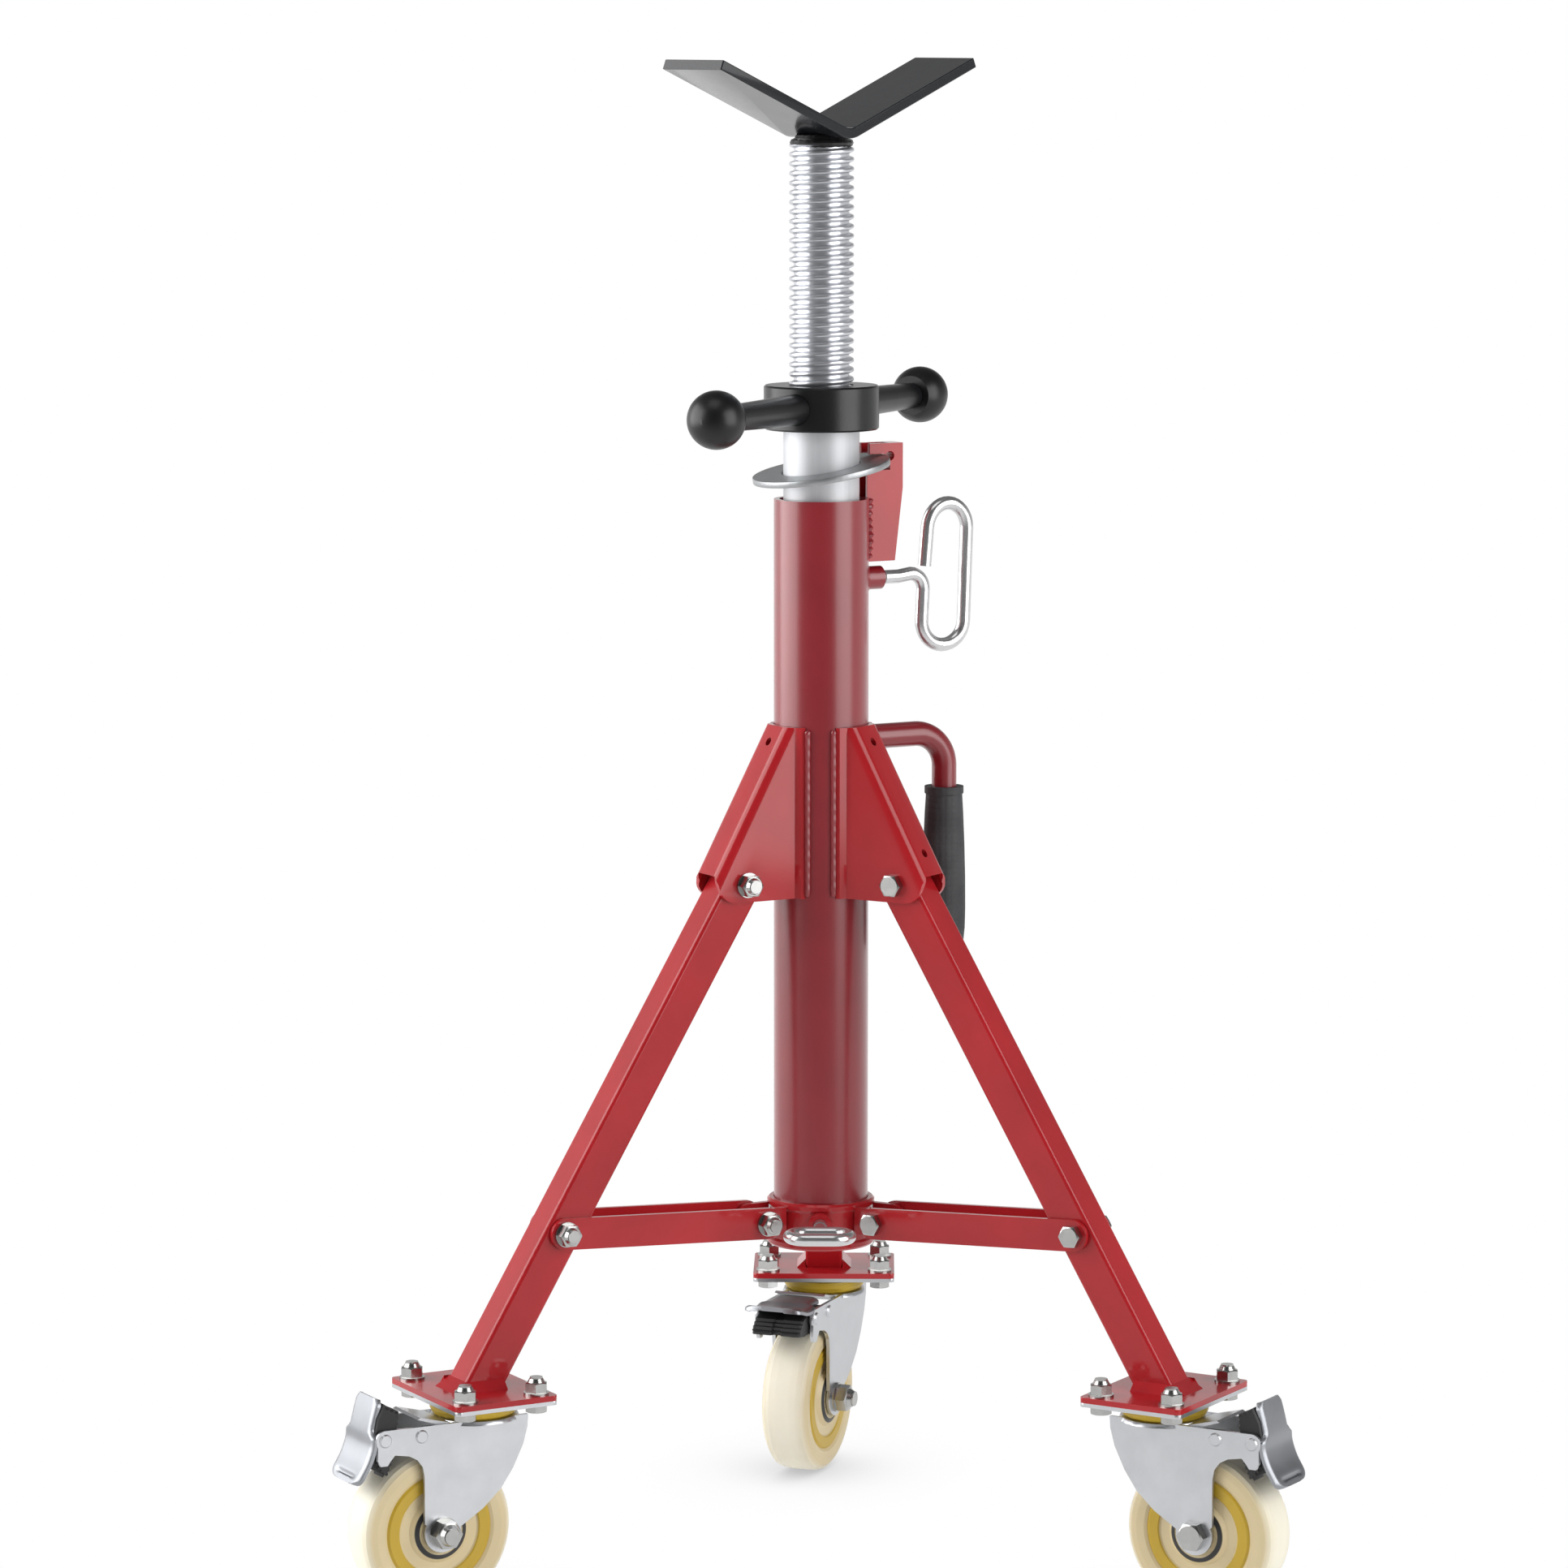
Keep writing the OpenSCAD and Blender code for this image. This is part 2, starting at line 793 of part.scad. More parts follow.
// Caster bolts, with the middle length of the strut bolt inside the leg
module leg_fasteners(az) {
    color("silver")
        rotate([0, 0, az]) {
            for (sx = [-1, 1], sy = [-1, 1])
                translate([foot_r + sx * hole_w / 2, sy * hole_l / 2, caster_h - plate_t])
                    bolt_and_nut(bolt_d, plate_t + foot_t);
            across(strut_pin_r, strut_pin_z)
                translate([0, 0, -leg_half - side_gap / 3])
                    cylinder(d = strut_bolt_d, h = leg_w + 2 * side_gap / 3);
        }
}

// Struts

module strut_place(az) {
    rotate([0, 0, az])
        translate([lug_r, 0, lug_z])
            rotate([0, -strut_angle, 0])
                children();
}

module strut_outline() {
    difference() {
        union() {
            translate([0, -strut_h / 2])
                square([strut_len, strut_h]);
            circle(d = strut_h);
            translate([strut_len, 0])
                circle(d = strut_h);
        }
        circle(r = strut_bolt_d / 2 + fit_gap);
        translate([strut_len, 0])
            circle(r = strut_bolt_d / 2 + fit_gap);
    }
}

module strut(az) {
    color("firebrick")
        strut_place(az)
            for (side = [0, 1])
                mirror([0, side, 0])
                    slab_across(side_in, strut_out)
                        strut_outline();
}

// The strut's outer bolt ends at the bars' inner faces, where the linkage is opened.
module strut_bolt(az) {
    stack = nut_stack(strut_bolt_d);
    color("silver")
        strut_place(az)
            across(strut_len, 0) {
                translate([0, 0, -strut_out])
                    bolt(strut_bolt_d, strut_t);
                translate([0, 0, strut_out])
                    lock_nut(strut_bolt_d);
                translate([0, 0, side_in])
                    cylinder(d = strut_bolt_d, h = strut_t + stack);
            }
}

// Collar that slides on the column

collar_r = column_r + seat_gap + collar_wall;
collar_low = lug_z - 0.63 * collar_h;
collar_top = collar_low + collar_h;
rim_r = collar_r + collar_wall / 3;
rim_h = 0.13 * collar_h;
lug_t = 4;
small_boss_d = 1.9 * small_rod_d;
small_boss_out = collar_r + 0.85 * small_rod_d;
collar_screw_z = lug_z - 0.03 * collar_h;

module collar_screw_hole(r) {
    rotate([0, 0, collar_screw_az])
        translate([0, 0, collar_screw_z])
            rotate([0, 90, 0])
                cylinder(r = r, h = column_od);
}

module collar() {
    color("firebrick")
        difference() {
            rotate_extrude()
                polygon([
                    [column_r + seat_gap, collar_low],
                    [rim_r - rim_h / 3, collar_low],
                    [rim_r, collar_low + rim_h / 3],
                    [rim_r, collar_low + rim_h],
                    [collar_r, collar_low + 1.4 * rim_h],
                    [collar_r, collar_top - 1.4 * rim_h],
                    [rim_r, collar_top - rim_h],
                    [rim_r, collar_top - rim_h / 3],
                    [rim_r - rim_h / 3, collar_top],
                    [column_r + seat_gap, collar_top]
                ]);
            collar_screw_hole(collar_thread_d / 2 + fit_gap);
        }
}

module collar_lugs() {
    ear_h = 0.86 * strut_h;
    color("firebrick")
        for (az = [left_az, right_az, rear_az])
            rotate([0, 0, az])
                difference() {
                    for (side = [0, 1])
                        mirror([0, side, 0])
                            slab_across(leg_half - lug_t, leg_half)
                                union() {
                                    translate([0, lug_z - ear_h / 2])
                                        square([lug_r, ear_h]);
                                    translate([lug_r, lug_z])
                                        circle(d = ear_h);
                                }
                    translate([0, 0, collar_low - cut])
                        cylinder(r = rim_r + weld_gap, h = collar_h + 2 * cut);
                    hole_across(lug_r, lug_z, strut_bolt_d / 2 + fit_gap, leg_w);
                }
}

module collar_boss() {
    color("firebrick")
        rotate([0, 0, collar_screw_az])
            translate([0, 0, collar_screw_z])
                difference() {
                    rotate([0, 90, 0])
                        cylinder(d = small_boss_d, h = small_boss_out);
                    rotate([0, 90, 0])
                        cylinder(r = collar_thread_d / 2 + fit_gap, h = small_boss_out + cut);
                    translate([0, 0, -small_boss_d])
                        cylinder(r = rim_r + weld_gap, h = 2 * small_boss_d);
                }
}

module collar_bolts() {
    color("silver")
        for (az = [left_az, right_az, rear_az])
            rotate([0, 0, az])
                bolt_across(lug_r, lug_z, strut_bolt_d, strut_out, 0);
}

module collar_screw() {
    loop_mid_y = small_boss_out + 2.2 * small_rod_d + small_loop_h / 2;
    tip = column_r + seat_gap / 2;
    color("gainsboro")
        rotate([0, 0, collar_screw_az])
            translate([0, 0, collar_screw_z]) {
                translate([tip, 0, 0])
                    rotate([0, 90, 0])
                        cylinder(d = collar_thread_d, h = small_boss_out + small_rod_d - tip);
                translate([small_boss_out, 0, 0])
                    rotate([0, 90, 0])
                        cylinder(d = small_rod_d, h = loop_mid_y - small_loop_h / 2 + small_rod_d / 2 - small_boss_out);
                translate([loop_mid_y, 0, 0])
                    rotate([0, 90, 0])
                        rotate([0, 0, 90])
                            rotate([0, 90, 0])
                                rod_loop(small_loop_h, small_loop_w, small_rod_d);
            }
}

// Casters, drawn with the swivel's centre line as Z and the trail along X

fork_in = wheel_w / 2 + 1 / 16 * wheel_w + seat_gap;
fork_out = fork_in + fork_t;
ring_gap_h = 0.207 * wheel_r;
crown_top = caster_h - plate_t - ring_gap_h;
crown_r = 0.56 * wheel_r;
pin_r = 0.12 * wheel_r;
rivet_r = 0.085 * wheel_r;
brake_x = trail + 39 / 50.8 * wheel_r;
brake_z = wheel_r + 62.6 / 50.8 * wheel_r;
brake_pin_r = 0.055 * wheel_r;

// Fork outline: first number is a share of the wheel's radius from the swivel's centre line,
// second is a share of the height from the axle to the crown.
fork_front_shares = [[-0.54, 1], [-0.53, 0.89], [-0.47, 0.73], [-0.33, 0.52], [-0.16, 0.34], [0.08, 0.18]];
fork_back_shares = [[0.876, 0.1], [0.876, 0.54], [0.9, 0.63], [0.97, 0.7], [1.08, 0.745], [1.27, 0.77],
    [1.33, 0.72], [1.37, 0.68], [1.46, 0.68], [1.5, 0.74]];

module caster_place(az, turn_az) {
    rotate([0, 0, az])
        translate([foot_r, 0, 0])
            rotate([0, 0, turn_az - az])
                children();
}

function fork_point(s) = [s[0] * wheel_r, wheel_r + s[1] * (crown_top - wheel_r)];

module fork_outline() {
    top = [brake_x, brake_z + 0.125 * wheel_r];
    polygon(concat(
        [for (s = fork_front_shares) fork_point(s)],
        [[trail, wheel_r - 0.1 * wheel_r]],
        [for (s = fork_back_shares) fork_point(s)],
        [[brake_x + 0.1 * wheel_r, brake_z], top, [crown_r, crown_top]]
    ));
    translate([trail, wheel_r])
        circle(r = 0.245 * wheel_r);
    translate([brake_x, brake_z])
        circle(r = 0.125 * wheel_r);
}

module caster_plate(az) {
    dome_r = 0.62 * wheel_r;
    color("silver")
        caster_place(az, az) {
            difference() {
                translate([0, 0, caster_h - plate_t])
                    linear_extrude(plate_t)
                        rounded_rect(plate_w, plate_l, foot_t);
                for (sx = [-1, 1], sy = [-1, 1])
                    translate([sx * hole_w / 2, sy * hole_l / 2, caster_h - plate_t - cut])
                        cylinder(r = bolt_d / 2 + seat_gap, h = plate_t + 2 * cut);
            }
            translate([0, 0, caster_h - plate_t - 0.04 * wheel_r])
                cylinder(r1 = 0.9 * dome_r, r2 = dome_r, h = 0.04 * wheel_r);
            translate([0, 0, crown_top - fork_t - 0.06 * wheel_r])
                cylinder(r = pin_r, h = caster_h - crown_top + fork_t);
            translate([0, 0, crown_top - fork_t - 0.06 * wheel_r])
                cylinder(r = 1.6 * pin_r, h = 0.055 * wheel_r);
        }
}

module swivel_ring(az, turn_az) {
    top = caster_h - plate_t - 0.04 * wheel_r - seat_gap;
    low = crown_top + seat_gap / 3;
    r = 0.55 * wheel_r;
    color("gold")
        caster_place(az, turn_az)
            rotate_extrude()
                polygon([
                    [pin_r + seat_gap, low],
                    [0.86 * r, low],
                    [0.93 * r, low + 0.15 * (top - low)],
                    [0.99 * r, low + 0.5 * (top - low)],
                    [r, low + 0.8 * (top - low)],
                    [0.99 * r, top],
                    [pin_r + seat_gap, top]
                ]);
}

// Sheet over the brake, rising from the crown towards the pedal
leaf_half = fork_in - seat_gap;
leaf_shares = [[0.5, 1], [0.9, 1.075], [0.94, 1.06], [0.5, 0.955]];

module fork(az, turn_az) {
    color("silver")
        caster_place(az, turn_az)
            difference() {
                union() {
                    for (side = [0, 1])
                        mirror([0, side, 0])
                            slab_across(fork_in, fork_out)
                                fork_outline();
                    translate([0, 0, crown_top - fork_t])
                        cylinder(r1 = crown_r, r2 = 0.96 * crown_r, h = fork_t);
                    slab_across(-leaf_half, leaf_half)
                        polygon([for (s = leaf_shares) fork_point(s)]);
                    for (side = [0, 1], x = [brake_x, 0.91 * wheel_r])
                        mirror([0, side, 0])
                            across(x, brake_z)
                                translate([0, 0, fork_out])
                                    cylinder(r1 = rivet_r, r2 = 0.8 * rivet_r, h = fork_t / 2);
                    hole_across(brake_x, brake_z, brake_pin_r, fork_in + fork_t / 2);
                }
                translate([0, 0, crown_top - 2 * fork_t])
                    cylinder(r = pin_r + fit_gap, h = 3 * fork_t);
                hole_across(trail, wheel_r, axle_d / 2 + fit_gap, fork_out + cut);
            }
}

module axle(az, turn_az) {
    sleeve_r = axle_d / 2 + 0.05 * wheel_r;
    color("silver")
        caster_place(az, turn_az) {
            bolt_across(trail, wheel_r, axle_d, fork_out, 0);
            for (side = [0, 1])
                mirror([0, side, 0])
                    across(trail, wheel_r)
                        pipe(sleeve_r + seat_gap, axle_d / 2 + fit_gap, hub_half + weld_gap, fork_in - weld_gap);
        }
}

hub_half = fork_in - seat_gap - 0.03 * wheel_w;

// Half of a wheel's section: shares of the radius, and of half the tread's width.
wheel_shares = [[0.3, 1.12], [0.35, 1.04], [0.4, 0.88], [0.52, 0.88], [0.55, 0.97], [0.67, 0.97], [0.7, 0.9],
    [0.74, 0.98], [0.84, 1], [0.92, 0.95], [0.97, 0.82], [0.992, 0.6], [1, 0.3]];

module wheel(az, turn_az) {
    half = [for (s = wheel_shares) [s[0] * wheel_r, s[1] * wheel_w / 2]];
    last = len(half) - 1;
    bore_r = axle_d / 2 + fit_gap;
    color("wheat")
        caster_place(az, turn_az)
            translate([trail, 0, wheel_r])
                rotate([-90, 0, 0])
                    rotate_extrude($fn = 120)
                        polygon(concat(
                            [[bore_r, hub_half], [0.26 * wheel_r, hub_half]],
                            half,
                            [for (i = [last:-1:0]) [half[i][0], -half[i][1]]],
                            [[0.26 * wheel_r, -hub_half], [bore_r, -hub_half]]
                        ));
}

// Brake pedal and shoe, drawn in the locked place round their pin

// Pedal line: shares of the wheel's radius, from the brake pin
pedal_shares = [[0.07, 0.45], [0.128, 0.28], [0.163, 0.09], [0.183, -0.07], [0.236, -0.21], [0.403, -0.5]];
shoe_shares = [[-0.22, 0.33], [-0.02, 0.43], [0.07, 0.26], [0.105, 0.08], [0.11, -0.08], [0.1, -0.3],
    [0.0, -0.47], [-0.06, -0.46], [-0.14, -0.28], [-0.2, -0.05]];
pedal_t = 0.042 * wheel_r;
pedal_half = fork_out - seat_gap / 2;
pedal_neck_half = fork_in - 2 * seat_gap;

function strip(line, t) = concat(
    line,
    [for (i = [len(line) - 1:-1:0])
        let (
            a = line[max(i - 1, 0)],
            b = line[min(i + 1, len(line) - 1)],
            d = (b - a) / norm(b - a)
        )
            line[i] + t * [d[1], -d[0]]]);

module brake_place(az, turn_az, lift) {
    caster_place(az, turn_az)
        translate([brake_x, 0, brake_z])
            rotate([0, -lift, 0])
                children();
}

module brake_pedal(az, turn_az, lift) {
    line = [for (s = pedal_shares) s * wheel_r];
    split = pedal_shares[2][1] * wheel_r;
    color("silver")
        brake_place(az, turn_az, lift)
            difference() {
                slab_across(-pedal_half, pedal_half)
                    polygon(strip(line, pedal_t));
                for (side = [0, 1])
                    mirror([0, side, 0])
                        translate([-wheel_r, pedal_neck_half, split])
                            cube([2 * wheel_r, pedal_half, wheel_r]);
            }
}

module brake_shoe(az, turn_az, lift) {
    color("#202020")
        brake_place(az, turn_az, lift)
            difference() {
                slab_across(-pedal_neck_half, pedal_neck_half)
                    polygon([for (s = shoe_shares) s * wheel_r]);
                hole_across(0, 0, brake_pin_r + fit_gap, fork_out);
            }
}

outer_tube();
ring_hook();
clamp_boss();
carry_handle();
handle_grip();
leg_pivot_bolts();
bracket(left_az, false);  // bracket_left
bracket(right_az, true);  // bracket_right
bracket(rear_az, false);  // bracket_rear
inner_tube();
lock_ring();
clamp_screw();
jack_nut();
nut_rods();
nut_knobs();
jack_screw();
head_stub();
v_head();
collar();
collar_lugs();
collar_boss();
collar_bolts();
collar_screw();
leg(left_az);  // leg_left
leg(right_az);  // leg_right
leg(rear_az);  // leg_rear
foot_plate(left_az);  // foot_plate_left
foot_plate(right_az);  // foot_plate_right
foot_plate(rear_az);  // foot_plate_rear
leg_fasteners(left_az);  // leg_fasteners_left
leg_fasteners(right_az);  // leg_fasteners_right
leg_fasteners(rear_az);  // leg_fasteners_rear
caster_plate(left_az);  // caster_plate_left
caster_plate(right_az);  // caster_plate_right
caster_plate(rear_az);  // caster_plate_rear
strut(left_az);  // strut_left
strut(right_az);  // strut_right
strut(rear_az);  // strut_rear
strut_bolt(left_az);  // strut_bolt_left
strut_bolt(right_az);  // strut_bolt_right
strut_bolt(rear_az);  // strut_bolt_rear
fork(left_az, left_az);  // fork_left
fork(right_az, right_az);  // fork_right
fork(rear_az, rear_trail_azimuth);  // fork_rear
swivel_ring(left_az, left_az);  // swivel_ring_left
swivel_ring(right_az, right_az);  // swivel_ring_right
swivel_ring(rear_az, rear_trail_azimuth);  // swivel_ring_rear
axle(left_az, left_az);  // axle_left
axle(right_az, right_az);  // axle_right
axle(rear_az, rear_trail_azimuth);  // axle_rear
wheel(left_az, left_az);  // wheel_left
wheel(right_az, right_az);  // wheel_right
wheel(rear_az, rear_trail_azimuth);  // wheel_rear
brake_pedal(left_az, left_az, 0);  // brake_pedal_left
brake_pedal(right_az, right_az, 0);  // brake_pedal_right
brake_pedal(rear_az, rear_trail_azimuth, pedal_lift);  // brake_pedal_rear
brake_shoe(left_az, left_az, 0);  // brake_shoe_left
brake_shoe(right_az, right_az, 0);  // brake_shoe_right
brake_shoe(rear_az, rear_trail_azimuth, pedal_lift);  // brake_shoe_rear
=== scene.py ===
"""Looks of the folding pipe stand: materials, welds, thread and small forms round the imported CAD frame."""

import json
import math

import bmesh
import bpy
from mathutils import Matrix, Vector


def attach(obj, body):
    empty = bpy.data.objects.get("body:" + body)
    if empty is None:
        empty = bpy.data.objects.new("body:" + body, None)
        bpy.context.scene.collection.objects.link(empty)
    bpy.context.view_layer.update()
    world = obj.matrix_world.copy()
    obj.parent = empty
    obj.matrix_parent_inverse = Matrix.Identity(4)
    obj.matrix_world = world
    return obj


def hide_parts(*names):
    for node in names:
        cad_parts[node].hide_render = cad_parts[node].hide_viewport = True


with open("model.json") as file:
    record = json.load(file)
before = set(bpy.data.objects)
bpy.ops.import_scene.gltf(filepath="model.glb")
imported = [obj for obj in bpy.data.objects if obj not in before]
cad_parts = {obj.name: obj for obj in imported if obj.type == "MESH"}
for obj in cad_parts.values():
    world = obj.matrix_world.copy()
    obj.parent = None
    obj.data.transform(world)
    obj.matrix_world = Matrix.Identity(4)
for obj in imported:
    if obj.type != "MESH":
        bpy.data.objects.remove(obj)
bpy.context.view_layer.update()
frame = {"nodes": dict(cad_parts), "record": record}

NODES = frame["nodes"]
UP = Vector((0, 0, 1))

# Degrees: the legs' directions round the column, their casters' trails and the lift of each brake
LEGS = {"left": 210.0, "right": 330.0, "rear": 90.0}
TRAIL = {"left": 210.0, "right": 330.0, "rear": 250.0}
BRAKE_LIFT = {"left": 0.0, "right": 0.0, "rear": 75.0}

# The hook, the clamp screw and the carrying handle stand in this direction, in degrees
HANDLE_SIDE = 30.0

# Sizes shared with the CAD source, in metres, and the lean of a bracket's web, in degrees
COLUMN_R = 0.03015
HOOK_LOW = 0.643
HOOK_HIGH = 0.6815
HOOK_HALF = 0.0078
CLAMP_Z = 0.630
HANDLE_Z = 0.528
SCREW_TOP = 0.905
SCREW_LEN = 0.300
SCREW_R = 0.0205
SCREW_BORE_R = 0.012
THREAD_PITCH = 0.006
THREAD_DEPTH = 0.003
FOOT_R = 0.248904
TRAIL_X = 0.032
WHEEL_R = 0.0508
PIVOT_R = 0.062
PIVOT_Z = 0.441
PIVOT_BORE_R = 0.00408
LEG_W = 0.025
SHEET_T = 0.003
SIDE_IN = 0.013
BRACKET_LEAN = 28.6
BRACKET_TOP = 0.539
BRACKET_LOW = 0.430
BRAKE_X = 0.071
BRAKE_Z = 0.1134

# Points closer than this are one point
SAME_POINT = 1e-6


def plan(azimuth):
    """Unit vectors outwards and sideways at an azimuth."""
    a = math.radians(azimuth)
    return Vector((math.cos(a), math.sin(a), 0)), Vector((-math.sin(a), math.cos(a), 0))


# Nodes of a shader

def shader(name, rough, metallic=0.0, coat=0.0, coat_rough=0.1, spec=0.5):
    """A new node material. Returns the material, its node tree and its Principled node."""
    mat = bpy.data.materials.new(name)
    mat.use_nodes = True
    tree = mat.node_tree
    bsdf = tree.nodes["Principled BSDF"]
    bsdf.inputs["Roughness"].default_value = rough
    bsdf.inputs["Metallic"].default_value = metallic
    bsdf.inputs["Coat Weight"].default_value = coat
    bsdf.inputs["Coat Roughness"].default_value = coat_rough
    bsdf.inputs["Specular IOR Level"].default_value = spec
    return mat, tree, bsdf


def noise(tree, scale, detail=3.0, rough=0.5, stretch=None):
    """Noise over object coordinates, which at rest are the row's own metres."""
    coords = tree.nodes.new("ShaderNodeTexCoord")
    out = coords.outputs["Object"]
    if stretch:
        mapping = tree.nodes.new("ShaderNodeMapping")
        mapping.inputs["Scale"].default_value = stretch
        tree.links.new(out, mapping.inputs["Vector"])
        out = mapping.outputs["Vector"]
    tex = tree.nodes.new("ShaderNodeTexNoise")
    tex.inputs["Scale"].default_value = scale
    tex.inputs["Detail"].default_value = detail
    tex.inputs["Roughness"].default_value = rough
    tree.links.new(out, tex.inputs["Vector"])
    return tex.outputs["Fac"]


def ramp(tree, fac, stops):
    """Colours at places from 0 to 1, blended between them."""
    node = tree.nodes.new("ShaderNodeValToRGB")
    elements = node.color_ramp.elements
    while len(elements) < len(stops):
        elements.new(0.5)
    for element, (place, colour) in zip(elements, stops):
        element.position = place
        element.color = (*colour, 1.0)
    tree.links.new(fac, node.inputs["Fac"])
    return node.outputs["Color"]


def grey_ramp(tree, fac, stops):
    return ramp(tree, fac, [(place, (value, value, value)) for place, value in stops])


def spread(tree, fac, low, high):
    """Low where fac is 0, high where it is 1."""
    node = tree.nodes.new("ShaderNodeMapRange")
    node.inputs["To Min"].default_value = low
    node.inputs["To Max"].default_value = high
    tree.links.new(fac, node.inputs["Value"])
    return node.outputs["Result"]


def share_of(tree, value, low, high):
    """0 where value is low, 1 where it is high."""
    node = tree.nodes.new("ShaderNodeMapRange")
    node.inputs["From Min"].default_value = low
    node.inputs["From Max"].default_value = high
    tree.links.new(value, node.inputs["Value"])
    return node.outputs["Result"]


def highest(tree, first, second):
    node = tree.nodes.new("ShaderNodeMath")
    node.operation = "MAXIMUM"
    tree.links.new(first, node.inputs[0])
    tree.links.new(second, node.inputs[1])
    return node.outputs["Value"]


def vector_math(tree, operation, first, second=None):
    node = tree.nodes.new("ShaderNodeVectorMath")
    node.operation = operation
    tree.links.new(first, node.inputs[0])
    if second is None:
        return node.outputs["Value"]
    node.inputs[1].default_value = second
    return node.outputs["Vector"]


def between(tree, fac, low, high):
    """A colour between two, each a socket or a plain colour."""
    mix = tree.nodes.new("ShaderNodeMix")
    mix.data_type = "RGBA"
    tree.links.new(fac, mix.inputs[0])
    for place, colour in ((6, low), (7, high)):
        if isinstance(colour, tuple):
            mix.inputs[place].default_value = (*colour, 1.0)
        else:
            tree.links.new(colour, mix.inputs[place])
    return mix.outputs[2]


def mixed(tree, fac, first, second):
    """The first shader where fac is 0, the second where it is 1."""
    node = tree.nodes.new("ShaderNodeMixShader")
    tree.links.new(fac, node.inputs["Fac"])
    tree.links.new(first, node.inputs[1])
    tree.links.new(second, node.inputs[2])
    return node.outputs["Shader"]


def ray_kind(tree, kind):
    return tree.nodes.new("ShaderNodeLightPath").outputs["Is " + kind + " Ray"]


def seen_rays(tree):
    """1 for rays that show the background: seen directly, in a gloss or through glass."""
    total = ray_kind(tree, "Camera")
    for kind in ("Glossy", "Transmission"):
        total = highest(tree, total, ray_kind(tree, kind))
    return total


def bump(tree, bsdf, height, strength, distance):
    node = tree.nodes.new("ShaderNodeBump")
    node.inputs["Strength"].default_value = strength
    node.inputs["Distance"].default_value = distance
    tree.links.new(height, node.inputs["Height"])
    tree.links.new(node.outputs["Normal"], bsdf.inputs["Normal"])


def mottle(tree, bsdf, fac, colour, vary):
    """A base colour that gets darker and lighter by a share with fac."""
    dark = tuple(c * (1.0 - vary) for c in colour)
    light = tuple(min(1.0, c * (1.0 + vary)) for c in colour)
    tree.links.new(ramp(tree, fac, [(0.3, dark), (0.7, light)]), bsdf.inputs["Base Color"])


# Materials

def paint(name, colour, rough, coat, spec, coat_rough=0.18, coat_ior=1.5):
    """Powder coat: a slightly uneven colour with fine orange peel."""
    mat, tree, bsdf = shader(name, rough, coat=coat, coat_rough=coat_rough, spec=spec)
    bsdf.inputs["Coat IOR"].default_value = coat_ior
    mottle(tree, bsdf, noise(tree, 18.0), colour, 0.1)
    tree.links.new(spread(tree, noise(tree, 60.0), rough - 0.04, rough + 0.05), bsdf.inputs["Roughness"])
    bump(tree, bsdf, noise(tree, 900.0, detail=2.0), strength=0.12, distance=0.0004)
    return mat


def metal(name, colour, rough, scale, vary, stretch=None, grain=0.0, metallic=1.0):
    """Bare or plated metal, cloudy at a scale, or streaky where it has a stretch."""
    mat, tree, bsdf = shader(name, rough, metallic=metallic)
    fac = noise(tree, scale, detail=4.0, rough=0.6, stretch=stretch)
    mottle(tree, bsdf, fac, colour, vary)
    tree.links.new(spread(tree, fac, rough - 0.04, rough + 0.06), bsdf.inputs["Roughness"])
    if grain:
        bump(tree, bsdf, fac, strength=grain, distance=0.0003)
    return mat


def plastic(name, colour, rough, spec=0.5):
    mat, tree, bsdf = shader(name, rough, spec=spec)
    mottle(tree, bsdf, noise(tree, 40.0), colour, 0.06)
    bump(tree, bsdf, noise(tree, 700.0, detail=2.0), strength=0.08, distance=0.0003)
    return mat


def grip_rubber(name):
    """Dark rubber with rows of fine raised dots round the grip."""
    mat, tree, bsdf = shader(name, 0.62, spec=0.35)
    tone = ramp(tree, noise(tree, 50.0), [(0.3, (0.040, 0.041, 0.044)), (0.7, (0.062, 0.063, 0.066))])
    tree.links.new(tone, bsdf.inputs["Base Color"])
    coords = tree.nodes.new("ShaderNodeTexCoord")
    dots = tree.nodes.new("ShaderNodeTexVoronoi")
    dots.inputs["Scale"].default_value = 260.0
    dots.inputs["Randomness"].default_value = 0.15
    tree.links.new(coords.outputs["Object"], dots.inputs["Vector"])
    bump(tree, bsdf, spread(tree, dots.outputs["Distance"], 1.0, 0.0), strength=0.5, distance=0.0008)
    return mat


